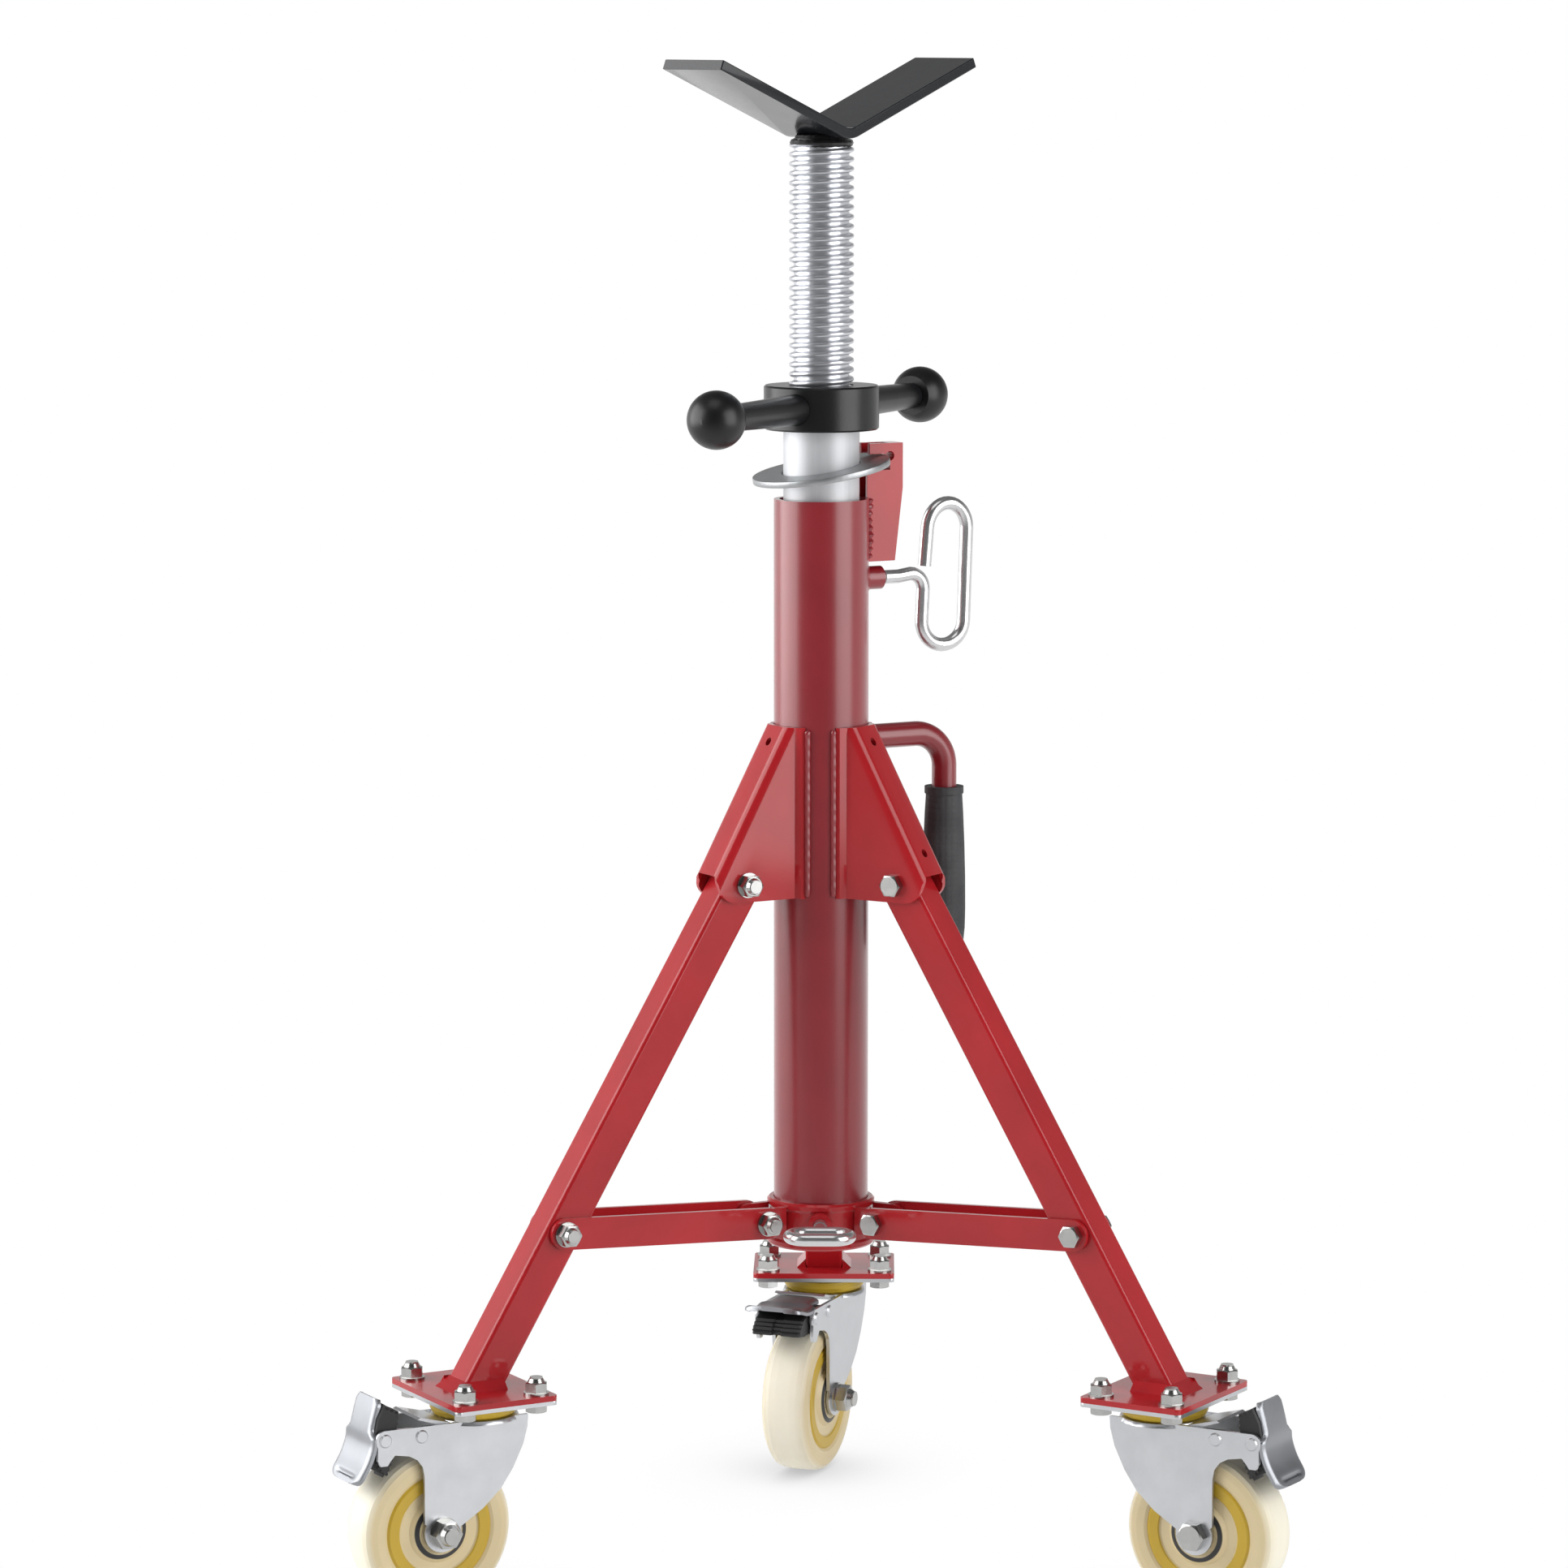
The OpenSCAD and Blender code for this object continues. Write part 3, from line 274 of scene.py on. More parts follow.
def wheel_nylon(name, leg):
    """Cream nylon with a mustard ring on both sides, a thin dark ring round the hub that is painted shade of
    the gap between hub and fork, and a tread painted lighter towards its crown as a painted highlight.
    """
    mat, tree, bsdf = shader(name, 0.40)
    out, _ = plan(LEGS[leg])
    ahead, across = plan(TRAIL[leg])
    centre = out * FOOT_R + ahead * TRAIL_X + UP * WHEEL_R
    coords = tree.nodes.new("ShaderNodeTexCoord")
    from_centre = vector_math(tree, "SUBTRACT", coords.outputs["Object"], centre)
    from_axle = vector_math(tree, "CROSS_PRODUCT", from_centre, across)
    radius_share = tree.nodes.new("ShaderNodeMath")
    radius_share.operation = "DIVIDE"
    tree.links.new(vector_math(tree, "LENGTH", from_axle), radius_share.inputs[0])
    radius_share.inputs[1].default_value = WHEEL_R
    cream, mustard = (0.73, 0.61, 0.37), (0.58, 0.39, 0.035)
    # The dark ring from 0.295 to 0.345 of the radius is painted shade of the gap between hub and fork.
    painted_hub_shade, painted_tread_highlight = (0.020, 0.020, 0.022), (0.93, 0.89, 0.75)
    bands = ramp(tree, radius_share.outputs["Value"], [
        (0.0, cream), (0.285, cream), (0.295, painted_hub_shade), (0.345, painted_hub_shade), (0.355, cream), (0.53, cream),
        # The last stops paint the tread lighter towards its crown than the sides: a painted highlight.
        (0.54, mustard), (0.695, mustard), (0.71, cream), (0.90, cream), (1.0, painted_tread_highlight),
    ])
    tint = ramp(tree, noise(tree, 25.0), [(0.3, (0.94, 0.93, 0.91)), (0.7, (1.0, 1.0, 1.0))])
    mix = tree.nodes.new("ShaderNodeMix")
    mix.data_type = "RGBA"
    mix.blend_type = "MULTIPLY"
    mix.inputs[0].default_value = 1.0
    tree.links.new(bands, mix.inputs[6])
    tree.links.new(tint, mix.inputs[7])
    tree.links.new(mix.outputs[2], bsdf.inputs["Base Color"])
    bsdf.inputs["Subsurface Weight"].default_value = 0.12
    bsdf.inputs["Subsurface Radius"].default_value = (0.008, 0.006, 0.003)
    bump(tree, bsdf, noise(tree, 500.0, detail=2.0), strength=0.06, distance=0.0003)
    return mat


M = {
    # column_red is the same paint as leg_red with a darker base colour: a shaded copy, painted shade on the
    # column.
    "column_red": paint("column_red", (0.25, 0.011, 0.018), 0.34, coat=1.0, spec=0.3, coat_rough=0.25),
    "leg_red": paint("leg_red", (0.41, 0.013, 0.018), 0.34, coat=0.7, spec=0.12, coat_rough=0.10),
    "black_metal": paint("black_metal", (0.008, 0.008, 0.009), 0.30, coat=0.0, spec=0.45),
    "head_black": paint(
        "head_black", (0.014, 0.015, 0.018), 0.30, coat=1.0, spec=0.15, coat_rough=0.12, coat_ior=1.28),
    "bright_tube": metal(
        "bright_tube", (0.63, 0.64, 0.66), 0.48, scale=160.0, vary=0.06, stretch=(1, 1, 0.05), metallic=0.35),
    "thread_steel": metal("thread_steel", (0.62, 0.63, 0.66), 0.28, scale=60.0, vary=0.05, metallic=0.85),
    "galvanised": metal("galvanised", (0.42, 0.43, 0.44), 0.42, scale=90.0, vary=0.10, grain=0.04),
    "chrome_rod": metal("chrome_rod", (0.66, 0.66, 0.67), 0.20, scale=60.0, vary=0.04, metallic=0.85),
    "zinc_fastener": metal("zinc_fastener", (0.46, 0.46, 0.45), 0.24, scale=90.0, vary=0.08),
    "pedal_zinc": metal("pedal_zinc", (0.33, 0.34, 0.36), 0.38, scale=50.0, vary=0.05),
    "zinc_sheet": metal("zinc_sheet", (0.58, 0.59, 0.61), 0.34, scale=50.0, vary=0.05),
    "black_knob": plastic("black_knob", (0.006, 0.006, 0.007), 0.36, spec=0.45),
    "yellow_plastic": plastic("yellow_plastic", (0.62, 0.42, 0.03), 0.42),
    "brake_black": plastic("brake_black", (0.012, 0.012, 0.013), 0.5),
    "grip_rubber": grip_rubber("grip_rubber"),
}
for leg_name in LEGS:
    wheel_key = "wheel_nylon_" + leg_name
    M[wheel_key] = wheel_nylon(wheel_key, leg_name)

SLOT = {row["node"]: row["material_slot"] for row in frame["record"]["subparts"]}
for node_name, piece in NODES.items():
    piece.data.materials.clear()
    material_key = SLOT[node_name]
    if material_key == "wheel_nylon":
        material_key = "wheel_nylon_" + node_name.split("_")[-1]
    piece.data.materials.append(M[material_key])


# Helpers for new pieces

def link(name, bm, material, body, smooth=40.0):
    """A new piece from a bmesh in the row frame, riding on a body. Edges over smooth degrees stay sharp."""
    bmesh.ops.recalc_face_normals(bm, faces=bm.faces)
    mesh = bpy.data.meshes.new(name)
    bm.to_mesh(mesh)
    bm.free()
    for poly in mesh.polygons:
        poly.use_smooth = True
    mesh.set_sharp_from_angle(angle=math.radians(smooth))
    obj = bpy.data.objects.new(name, mesh)
    bpy.context.scene.collection.objects.link(obj)
    mesh.materials.append(M[material])
    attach(obj, body)
    return obj


def tube_along(bm, points, radii, sides):
    """Sweeps a round section along points, with a radius for each."""
    rings = []
    side = None
    for i, p in enumerate(points):
        before = points[max(i - 1, 0)]
        after = points[min(i + 1, len(points) - 1)]
        along = (after - before).normalized()
        if side is None:
            side = along.orthogonal().normalized()
        side = (side - along * side.dot(along)).normalized()
        other = along.cross(side)
        ring = []
        for k in range(sides):
            t = 2 * math.pi * k / sides
            ring.append(bm.verts.new(p + (side * math.cos(t) + other * math.sin(t)) * radii[i]))
        rings.append(ring)
    for a, b in zip(rings, rings[1:]):
        for k in range(sides):
            n = (k + 1) % sides
            bm.faces.new((a[k], a[n], b[n], b[k]))
    bm.faces.new(list(reversed(rings[0])))
    bm.faces.new(rings[-1])


# The jack screw with a true right-hand thread

THREAD_STEPS = 72
FLANK_DROP = 0.0011
CREST_DROP = 0.0003


def jack_screw():
    turns = int(SCREW_LEN / THREAD_PITCH) + 4
    bottom = SCREW_TOP - SCREW_LEN
    root, crest = SCREW_R - THREAD_DEPTH, SCREW_R
    flank, shoulder = crest - FLANK_DROP, crest - CREST_DROP
    profile = [(0.0, root), (0.10, root), (0.22, flank), (0.29, shoulder), (0.38, crest),
               (0.54, crest), (0.63, shoulder), (0.70, flank), (0.82, root), (1.0, root)]
    bm = bmesh.new()
    rows = []
    for i in range(turns * THREAD_STEPS + 1):
        angle = 2 * math.pi * i / THREAD_STEPS
        base = bottom - 2 * THREAD_PITCH + THREAD_PITCH * i / THREAD_STEPS
        rows.append([
            bm.verts.new((r * math.cos(angle), r * math.sin(angle), base + pitch_share * THREAD_PITCH))
            for pitch_share, r in profile
        ])
    for a, b in zip(rows, rows[1:]):
        for k in range(len(profile) - 1):
            bm.faces.new((a[k], b[k], b[k + 1], a[k + 1]))
    bmesh.ops.remove_doubles(bm, verts=bm.verts, dist=SAME_POINT)
    for z, up in ((bottom, -1), (SCREW_TOP, 1)):
        bmesh.ops.bisect_plane(
            bm, geom=bm.verts[:] + bm.edges[:] + bm.faces[:], plane_co=(0, 0, z), plane_no=(0, 0, up),
            clear_outer=True,
        )
    for z in (bottom, SCREW_TOP):
        rim = [e for e in bm.edges if e.is_boundary and abs(e.verts[0].co.z - z) < SAME_POINT]
        ring = bmesh.ops.create_circle(
            bm, segments=THREAD_STEPS, radius=SCREW_BORE_R, matrix=Matrix.Translation((0, 0, z)))
        inner = list({e for v in ring["verts"] for e in v.link_edges})
        bmesh.ops.bridge_loops(bm, edges=rim + inner)
    bores = [e for e in bm.edges if e.is_boundary]
    bmesh.ops.bridge_loops(bm, edges=bores)
    obj = link("jack_screw_thread", bm, "thread_steel", "screw", smooth=30.0)
    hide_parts("jack_screw")


jack_screw()


# Weld beads

BEAD_STEP = 0.0011
BEAD_SIDES = 8
END_SHARE = 0.6
SLOW_PITCHES = 5.3
SLOW_LUMP_SHARE = 0.6
SLOW_SEED = 2.1


def bead(bm, points, radius, lump, pitch, seed):
    """A weld bead along points, with the ripples that a torch leaves: a pitch apart, and slower ones."""
    fine = []
    travel = 0.0
    for a, b in zip(points, points[1:]):
        count = max(1, int((b - a).length / BEAD_STEP))
        for i in range(count):
            fine.append(a.lerp(b, i / count))
    fine.append(points[-1])
    radii = []
    for i, p in enumerate(fine):
        if i:
            travel += (p - fine[i - 1]).length
        quick = math.sin(2 * math.pi * travel / pitch + seed)
        slow = math.sin(2 * math.pi * travel / (pitch * SLOW_PITCHES) + SLOW_SEED * seed)
        radii.append(radius * (1 + lump * quick + SLOW_LUMP_SHARE * lump * slow))
    radii[0] *= END_SHARE
    radii[-1] *= END_SHARE
    tube_along(bm, fine, radii, BEAD_SIDES)


def saddle(azimuth, z, radius, lift=0.0003, count=36):
    """Points round a bar where it meets the column."""
    out, side = plan(azimuth)
    points = []
    for i in range(count + 1):
        t = 2 * math.pi * i / count
        y = radius * math.cos(t)
        x = math.sqrt((COLUMN_R + lift) ** 2 - y * y)
        points.append(out * x + side * y + UP * (z + radius * math.sin(t)))
    return points


def level_ring(z, radius, count=60):
    """Points round the column's axis."""
    return [plan(360 * i / count)[0] * radius + UP * z for i in range(count + 1)]


def column_welds():
    """Beads along the hook and round the boss of the clamp screw and the end of the handle."""
    hook_in = 0.0300
    bm = bmesh.new()
    out, side = plan(HANDLE_SIDE)
    for sign in (-1, 1):
        foot = out * hook_in + side * (sign * HOOK_HALF)
        ends = [foot + UP * HOOK_LOW, foot + UP * HOOK_HIGH]
        bead(bm, ends, radius=0.0024, lump=0.3, pitch=0.0045, seed=sign)
    boss_foot = saddle(HANDLE_SIDE, CLAMP_Z, radius=0.0080)
    handle_foot = saddle(HANDLE_SIDE, HANDLE_Z, radius=0.0086)
    bead(bm, boss_foot, radius=0.0019, lump=0.22, pitch=0.0036, seed=1.0)
    bead(bm, handle_foot, radius=0.0018, lump=0.2, pitch=0.0036, seed=2.0)
    link("column_welds", bm, "column_red", "column")


def bracket_welds():
    """Beads along the brackets' flanges on the column, in the darker column red: painted shade where the
    brackets meet the column.
    """
    half_angle, lift, short = 44.6, 0.0008, 0.0015
    bm = bmesh.new()
    for azimuth in LEGS.values():
        for sign in (-1, 1):
            edge, _ = plan(azimuth + sign * half_angle)
            foot = edge * (COLUMN_R + lift)
            ends = [foot + UP * (BRACKET_LOW + short), foot + UP * (BRACKET_TOP - short)]
            bead(bm, ends, radius=0.0019, lump=0.06, pitch=0.0071, seed=azimuth + sign)
    link("bracket_welds", bm, "column_red", "column")


column_welds()
bracket_welds()


# Brackets of bent sheet, with round bends between the web and the two walls

# Metres, and degrees for the flanges' place under the walls and their span
WEB_OUT = 0.0215
WEB_BELOW = 0.003
BEND_R = 0.0068
BEND_STEPS = 8
CORNER_R = 0.012
CORNER_IN = 0.00075
NOTCH_HALF = 0.0108
NOTCH_REACH = 0.060
HOLE_R = 0.0028
HOLE_SPAN = 0.098
COLUMN_GAP = 0.00005
BLANK_HALF = 0.020
BLANK_DEPTH = 0.150
BLANK_FROM, BLANK_TO = -0.050, 0.200
OVERRUN = 0.010
FLANGE_STEPS = 4
FLANGE_UNDER = 4.0
FLANGE_SPAN = 13.5
FLANGE_T_SHARE = 0.75
FLANGE_END_T_SHARE = 0.35


def radial(azimuth, x, y, z):
    """A point x outwards, y sideways and z up, seen from an azimuth."""
    out, side = plan(azimuth)
    return out * x + side * y + UP * z


def prism(points, low, high, place):
    """A solid from an outline, made thick from low to high. place(u, v, w) gives a point."""
    bm = bmesh.new()
    rings = [[bm.verts.new(place(u, v, w)) for u, v in points] for w in (low, high)]
    bm.faces.new(rings[0])
    bm.faces.new(list(reversed(rings[1])))
    count = len(points)
    for k in range(count):
        n = (k + 1) % count
        bm.faces.new((rings[0][n], rings[0][k], rings[1][k], rings[1][n]))
    bmesh.ops.recalc_face_normals(bm, faces=bm.faces)
    mesh = bpy.data.meshes.new("cutter")
    bm.to_mesh(mesh)
    bm.free()
    obj = bpy.data.objects.new("cutter", mesh)
    bpy.context.scene.collection.objects.link(obj)
    return obj


def carve(base, cutters):
    """The mesh of base after the cutters, each an object and an operation. All of them are removed."""
    for cutter, operation in cutters:
        step = base.modifiers.new("step", "BOOLEAN")
        step.operation = operation
        step.solver = "EXACT"
        step.object = cutter
    graph = bpy.context.evaluated_depsgraph_get()
    mesh = bpy.data.meshes.new_from_object(base.evaluated_get(graph))
    bm = bmesh.new()
    bm.from_mesh(mesh)
    bpy.data.meshes.remove(mesh)
    for obj in [base] + [cutter for cutter, _ in cutters]:
        mesh = obj.data
        bpy.data.objects.remove(obj)
        bpy.data.meshes.remove(mesh)
    bmesh.ops.remove_doubles(bm, verts=bm.verts, dist=SAME_POINT)
    return bm


def bar_section(inset, half, bend):
    """A bar with two round edges, seen along it: its face lies inset from the web's, its back lies open."""
    points = [(-BLANK_DEPTH, half)]
    for i in range(BEND_STEPS + 1):
        t = math.radians(90 * i / BEND_STEPS)
        points.append((bend * math.sin(t) - bend - inset, half - bend + bend * math.cos(t)))
    return points + [(x, -y) for x, y in reversed(points)]


def circle(radius, count=24):
    return [(radius * math.cos(2 * math.pi * k / count), radius * math.sin(2 * math.pi * k / count))
            for k in range(count)]


def flanges(bm, azimuth, side_out):
    """Strips on both sides of a bracket, bent round the column and thinner at their last edge."""
    wall_angle = math.degrees(math.asin(side_out / COLUMN_R))
    inner = COLUMN_R + COLUMN_GAP
    for sign in (-1, 1):
        rings = []
        for i in range(FLANGE_STEPS + 1):
            edge, _ = plan(azimuth + sign * (wall_angle - FLANGE_UNDER + FLANGE_SPAN * i / FLANGE_STEPS))
            outer = COLUMN_R + SHEET_T * (FLANGE_T_SHARE if i < FLANGE_STEPS else FLANGE_END_T_SHARE)
            rings.append([bm.verts.new(edge * r + UP * z) for r, z in (
                (inner, BRACKET_LOW), (outer, BRACKET_LOW), (outer, BRACKET_TOP), (inner, BRACKET_TOP))])
        for a, b in zip(rings, rings[1:]):
            for k in range(4):
                bm.faces.new((a[k], a[(k + 1) % 4], b[(k + 1) % 4], b[k]))
        bm.faces.new(rings[0])
        bm.faces.new(list(reversed(rings[-1])))


def bracket(name, azimuth, hole_shares):
    """hole_shares are the places of the web's holes, down from its top, in shares of HOLE_SPAN."""
    lean = math.radians(BRACKET_LEAN)
    web_x = PIVOT_R + (WEB_OUT - LEG_W / 4 * math.sin(lean)) / math.cos(lean)
    web_z = PIVOT_Z + LEG_W / 4
    corner_x = web_x - CORNER_R - CORNER_IN
    side_out = SIDE_IN + SHEET_T

    def across(u, v, w):
        return radial(azimuth, u, w, v)

    def along(u, v, w):
        return radial(azimuth, web_x + u * math.cos(lean) - w * math.sin(lean), v,
                      web_z + u * math.sin(lean) + w * math.cos(lean))

    outline = [(0.0, BRACKET_TOP), (web_x, BRACKET_TOP), (web_x, web_z - WEB_BELOW)]
    for i in range(BEND_STEPS + 1):
        t = math.radians(-90 * i / BEND_STEPS)
        outline.append((corner_x + CORNER_R * math.cos(t), BRACKET_LOW + CORNER_R + CORNER_R * math.sin(t)))
    outline.append((0.0, BRACKET_LOW))
    base = prism(outline, -BLANK_HALF, BLANK_HALF, across)
    outside = prism(bar_section(0.0, side_out, BEND_R), BLANK_FROM, BLANK_TO, along)
    inside = prism(bar_section(SHEET_T, SIDE_IN, BEND_R - SHEET_T), BLANK_FROM, BLANK_TO, along)
    back, front, low = web_x - NOTCH_REACH, web_x + NOTCH_REACH, web_z - NOTCH_REACH
    notch = prism([(back, web_z), (front, web_z), (front, low), (back, low)], -NOTCH_HALF, NOTCH_HALF, across)
    column = prism(circle(COLUMN_R + COLUMN_GAP, count=64), BRACKET_LOW - OVERRUN, BRACKET_TOP + OVERRUN,
                   lambda u, v, w: Vector((u, v, w)))
    bolt = prism(circle(PIVOT_BORE_R), -BLANK_HALF - OVERRUN, BLANK_HALF + OVERRUN,
                 lambda u, v, w: radial(azimuth, PIVOT_R + u, w, PIVOT_Z + v))
    cutters = [(outside, "INTERSECT")] + [(cutter, "DIFFERENCE") for cutter in (inside, notch, column, bolt)]
    web_length = (BRACKET_TOP - web_z) / math.cos(lean)
    for share in hole_shares:
        at = web_length - share * HOLE_SPAN / math.cos(lean)
        hole = prism(circle(HOLE_R), -OVERRUN, OVERRUN, lambda u, v, w: along(w, u, at + v))
        cutters.append((hole, "DIFFERENCE"))
    bm = carve(base, cutters)
    flanges(bm, azimuth, side_out)
    obj = link(name + "_bent", bm, "leg_red", "column", smooth=32.0)
    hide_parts(name)


for leg_name, leg_holes in (("left", [0.1]), ("right", [0.1, 0.8]), ("rear", [0.1])):
    bracket("bracket_" + leg_name, LEGS[leg_name], leg_holes)


# Upper clamp screw: one rod that is bent round to its own stem, with a thread in the boss

# Metres, and degrees for the loop's lean
ROD_R = 0.0044
ROD_SIDES = 20
LOOP_OUT = 0.091
LOOP_HALF_W = 0.0156
LOOP_HALF_H = 0.0456
LOOP_LEAN = 3.0
LOOP_NARROW_SHARE = 0.10
LOOP_STEPS = 16
STEM_IN, STEM_OUT = 0.0430, 0.0560
STEM_BEND_R = 0.010
STEM_BEND_STEPS = 8
LOOP_END_Z = 0.0050
SCREWED_IN = 0.0245
SCREWED_LEN = 0.0215
SCREWED_STEPS = 32
SCREWED_CREST_R, SCREWED_ROOT_R = 0.00484, 0.00435


def clamp_screw():
    out, _ = plan(HANDLE_SIDE)
    centre = out * LOOP_OUT + UP * CLAMP_Z
    lean = math.radians(LOOP_LEAN)

    def on_axis(x):
        return out * x + UP * CLAMP_Z

    def at(x, z):
        x *= 1.0 - LOOP_NARROW_SHARE * max(0.0, z / LOOP_HALF_H)
        return (centre + out * (x * math.cos(lean) + z * math.sin(lean))
                + UP * (z * math.cos(lean) - x * math.sin(lean)))

    def half_turn(start, z):
        turns = [math.radians(start + 180 * i / LOOP_STEPS) for i in range(1, LOOP_STEPS + 1)]
        return [at(LOOP_HALF_W * math.cos(t), z + LOOP_HALF_W * math.sin(t)) for t in turns]

    path = [on_axis(STEM_IN), on_axis(STEM_OUT)]
    left = -LOOP_HALF_W
    for i in range(STEM_BEND_STEPS + 1):
        t = math.radians(90 * i / STEM_BEND_STEPS)
        bend_x, bend_z = STEM_BEND_R * math.sin(t), STEM_BEND_R * math.cos(t)
        path.append(at(left - STEM_BEND_R + bend_x, -STEM_BEND_R + bend_z))
    straight = LOOP_HALF_H - LOOP_HALF_W
    path.append(at(left, -straight))
    path += half_turn(180, -straight)
    path.append(at(LOOP_HALF_W, straight))
    path += half_turn(0, straight)
    path.append(at(left, LOOP_END_Z))
    bm = bmesh.new()
    tube_along(bm, path, [ROD_R] * len(path), ROD_SIDES)
    thread = [on_axis(SCREWED_IN + SCREWED_LEN * i / SCREWED_STEPS) for i in range(SCREWED_STEPS + 1)]
    radii = [SCREWED_CREST_R if i % 2 else SCREWED_ROOT_R for i in range(SCREWED_STEPS + 1)]
    tube_along(bm, thread, radii, ROD_SIDES)
    obj = link("clamp_screw_bent", bm, "chrome_rod", "clamp", smooth=50.0)
    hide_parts("clamp_screw")


clamp_screw()


# Brake pedals: pressed sheet in an S with turned edges, a round end and a pressed groove

# The pedal's outer face seen from the side, in shares of the wheel's radius from the brake's hinge
PEDAL_SHARES = [(0.055, 0.50), (0.115, 0.30), (0.165, 0.09), (0.180, -0.07),
                (0.245, -0.25), (0.345, -0.42), (0.395, -0.52)]
PEDAL_ROWS, PEDAL_COLS = 44, 30
PEDAL_T = 0.0021
PEDAL_LEN = 0.0565
PEDAL_ROOT_HALF, PEDAL_END_HALF = 0.0152, 0.0206
PEDAL_END_R = 0.011
NECK_FROM_SHARE, NECK_SPAN_SHARE = 0.30, 0.10
ROOT_SHARE, ROOT_DROP = 0.07, 0.003
EDGE_W, EDGE_DROP = 0.0032, 0.0016
GROOVE_BACK, GROOVE_W, GROOVE_HALF, GROOVE_DROP = 0.0085, 0.0016, 0.0125, 0.0011
EDGE_CROWDING = 1.4
SLOPE_STEP = 0.05


def curve_point(points, t):
    """A smooth curve through points, t from 0 to the last one's number."""
    k = min(int(t), len(points) - 2)
    f = t - k
    p0, p1, p2, p3 = (points[min(max(k + d, 0), len(points) - 1)] for d in (-1, 0, 1, 2))
    return tuple(
        0.5 * (2 * b + (c - a) * f + (2 * a - 5 * b + 4 * c - d) * f * f + (3 * b - a - 3 * c + d) * f ** 3)
        for a, b, c, d in zip(p0, p1, p2, p3)
    )


def brake_point(leg, x, y, z):
    """A point on a leg's brake, from the brake's hinge, turned up as far as that brake is lifted."""
    out, _ = plan(LEGS[leg])
    ahead, across = plan(TRAIL[leg])
    t = math.radians(BRAKE_LIFT[leg])
    turned_x = x * math.cos(t) - z * math.sin(t)
    turned_z = x * math.sin(t) + z * math.cos(t)
    return out * FOOT_R + ahead * (BRAKE_X + turned_x) + across * y + UP * (BRAKE_Z + turned_z)


def pedal_half(share, left):
    """Half the pedal's width at a share of its length, where left is what is left to its round end."""
    neck = min(1.0, max(0.0, (share - NECK_FROM_SHARE) / NECK_SPAN_SHARE))
    neck = neck * neck * (3 - 2 * neck)
    half = PEDAL_ROOT_HALF + (PEDAL_END_HALF - PEDAL_ROOT_HALF) * neck
    if left < PEDAL_END_R:
        half -= PEDAL_END_R - math.sqrt(max(0.0, PEDAL_END_R ** 2 - (PEDAL_END_R - left) ** 2))
    if share < ROOT_SHARE:
        half -= ROOT_DROP * (1 - share / ROOT_SHARE)
    return half


def pedal_shift(y, half, left):
    """How far the sheet is pressed down: at its turned edges and in the groove near its end."""
    turn = max(0.0, (abs(y) - half + EDGE_W) / EDGE_W)
    groove = math.exp(-((left - GROOVE_BACK) / GROOVE_W) ** 4) * math.exp(-(y / GROOVE_HALF) ** 8)
    return -EDGE_DROP * turn * turn - GROOVE_DROP * groove


def brake_pedal(leg):
    rows, cols = PEDAL_ROWS, PEDAL_COLS
    last = len(PEDAL_SHARES) - 1
    bm = bmesh.new()
    front, back = [], []
    for i in range(rows + 1):
        t = last * i / rows
        x, z = curve_point(PEDAL_SHARES, t)
        ahead = curve_point(PEDAL_SHARES, min(t + SLOPE_STEP, last))
        behind = curve_point(PEDAL_SHARES, max(t - SLOPE_STEP, 0))
        along = Vector((ahead[0] - behind[0], ahead[1] - behind[1])).normalized()
        normal = Vector((-along.y, along.x))
        left = max(0.0, (1.0 - i / rows) * PEDAL_LEN)
        half = pedal_half(i / rows, left)
        front_row, back_row = [], []
        for j in range(cols + 1):
            v = -1 + 2 * j / cols
            y = half * math.copysign(1 - (1 - abs(v)) ** EDGE_CROWDING, v)
            shift = pedal_shift(y, half, left)
            px, pz = x * WHEEL_R + normal.x * shift, z * WHEEL_R + normal.y * shift
            under_x, under_z = px - normal.x * PEDAL_T, pz - normal.y * PEDAL_T
            front_row.append(bm.verts.new(brake_point(leg, px, y, pz)))
            back_row.append(bm.verts.new(brake_point(leg, under_x, y, under_z)))
        front.append(front_row)
        back.append(back_row)
    for i in range(rows):
        for j in range(cols):
            bm.faces.new((front[i][j], front[i][j + 1], front[i + 1][j + 1], front[i + 1][j]))
            bm.faces.new((back[i][j], back[i + 1][j], back[i + 1][j + 1], back[i][j + 1]))
        bm.faces.new((front[i][0], front[i + 1][0], back[i + 1][0], back[i][0]))
        bm.faces.new((front[i][cols], back[i][cols], back[i + 1][cols], front[i + 1][cols]))
    for j in range(cols):
        bm.faces.new((front[0][j], back[0][j], back[0][j + 1], front[0][j + 1]))
        bm.faces.new((front[rows][j], front[rows][j + 1], back[rows][j + 1], back[rows][j]))
    name = "brake_pedal_" + leg
    obj = link(name + "_pressed", bm, "pedal_zinc", "brake_" + leg)
    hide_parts(name)


# Brake blocks with a toothed edge

# The block seen from the side, in shares of the wheel's radius from the brake's hinge
SHOE_SHARES = [(-0.22, 0.33), (-0.02, 0.43), (0.07, 0.26), (0.105, 0.08), (0.11, -0.08), (0.1, -0.3),
               (0.0, -0.47), (-0.06, -0.46), (-0.14, -0.28), (-0.2, -0.05)]
TOOTHED_SIDES = (5, 6, 7, 8, 9, 0)
TOOTH_PITCH_SHARE, TOOTH_HEIGHT_SHARE = 0.075, 0.022
SHOE_HALF = 0.0172
SHOE_CHAMFER, CHAMFER_SHARE = 0.0012, 0.94
SEAM_IN, SEAM_OUT, SEAM_SHARE = 0.0028, 0.0035, 0.93


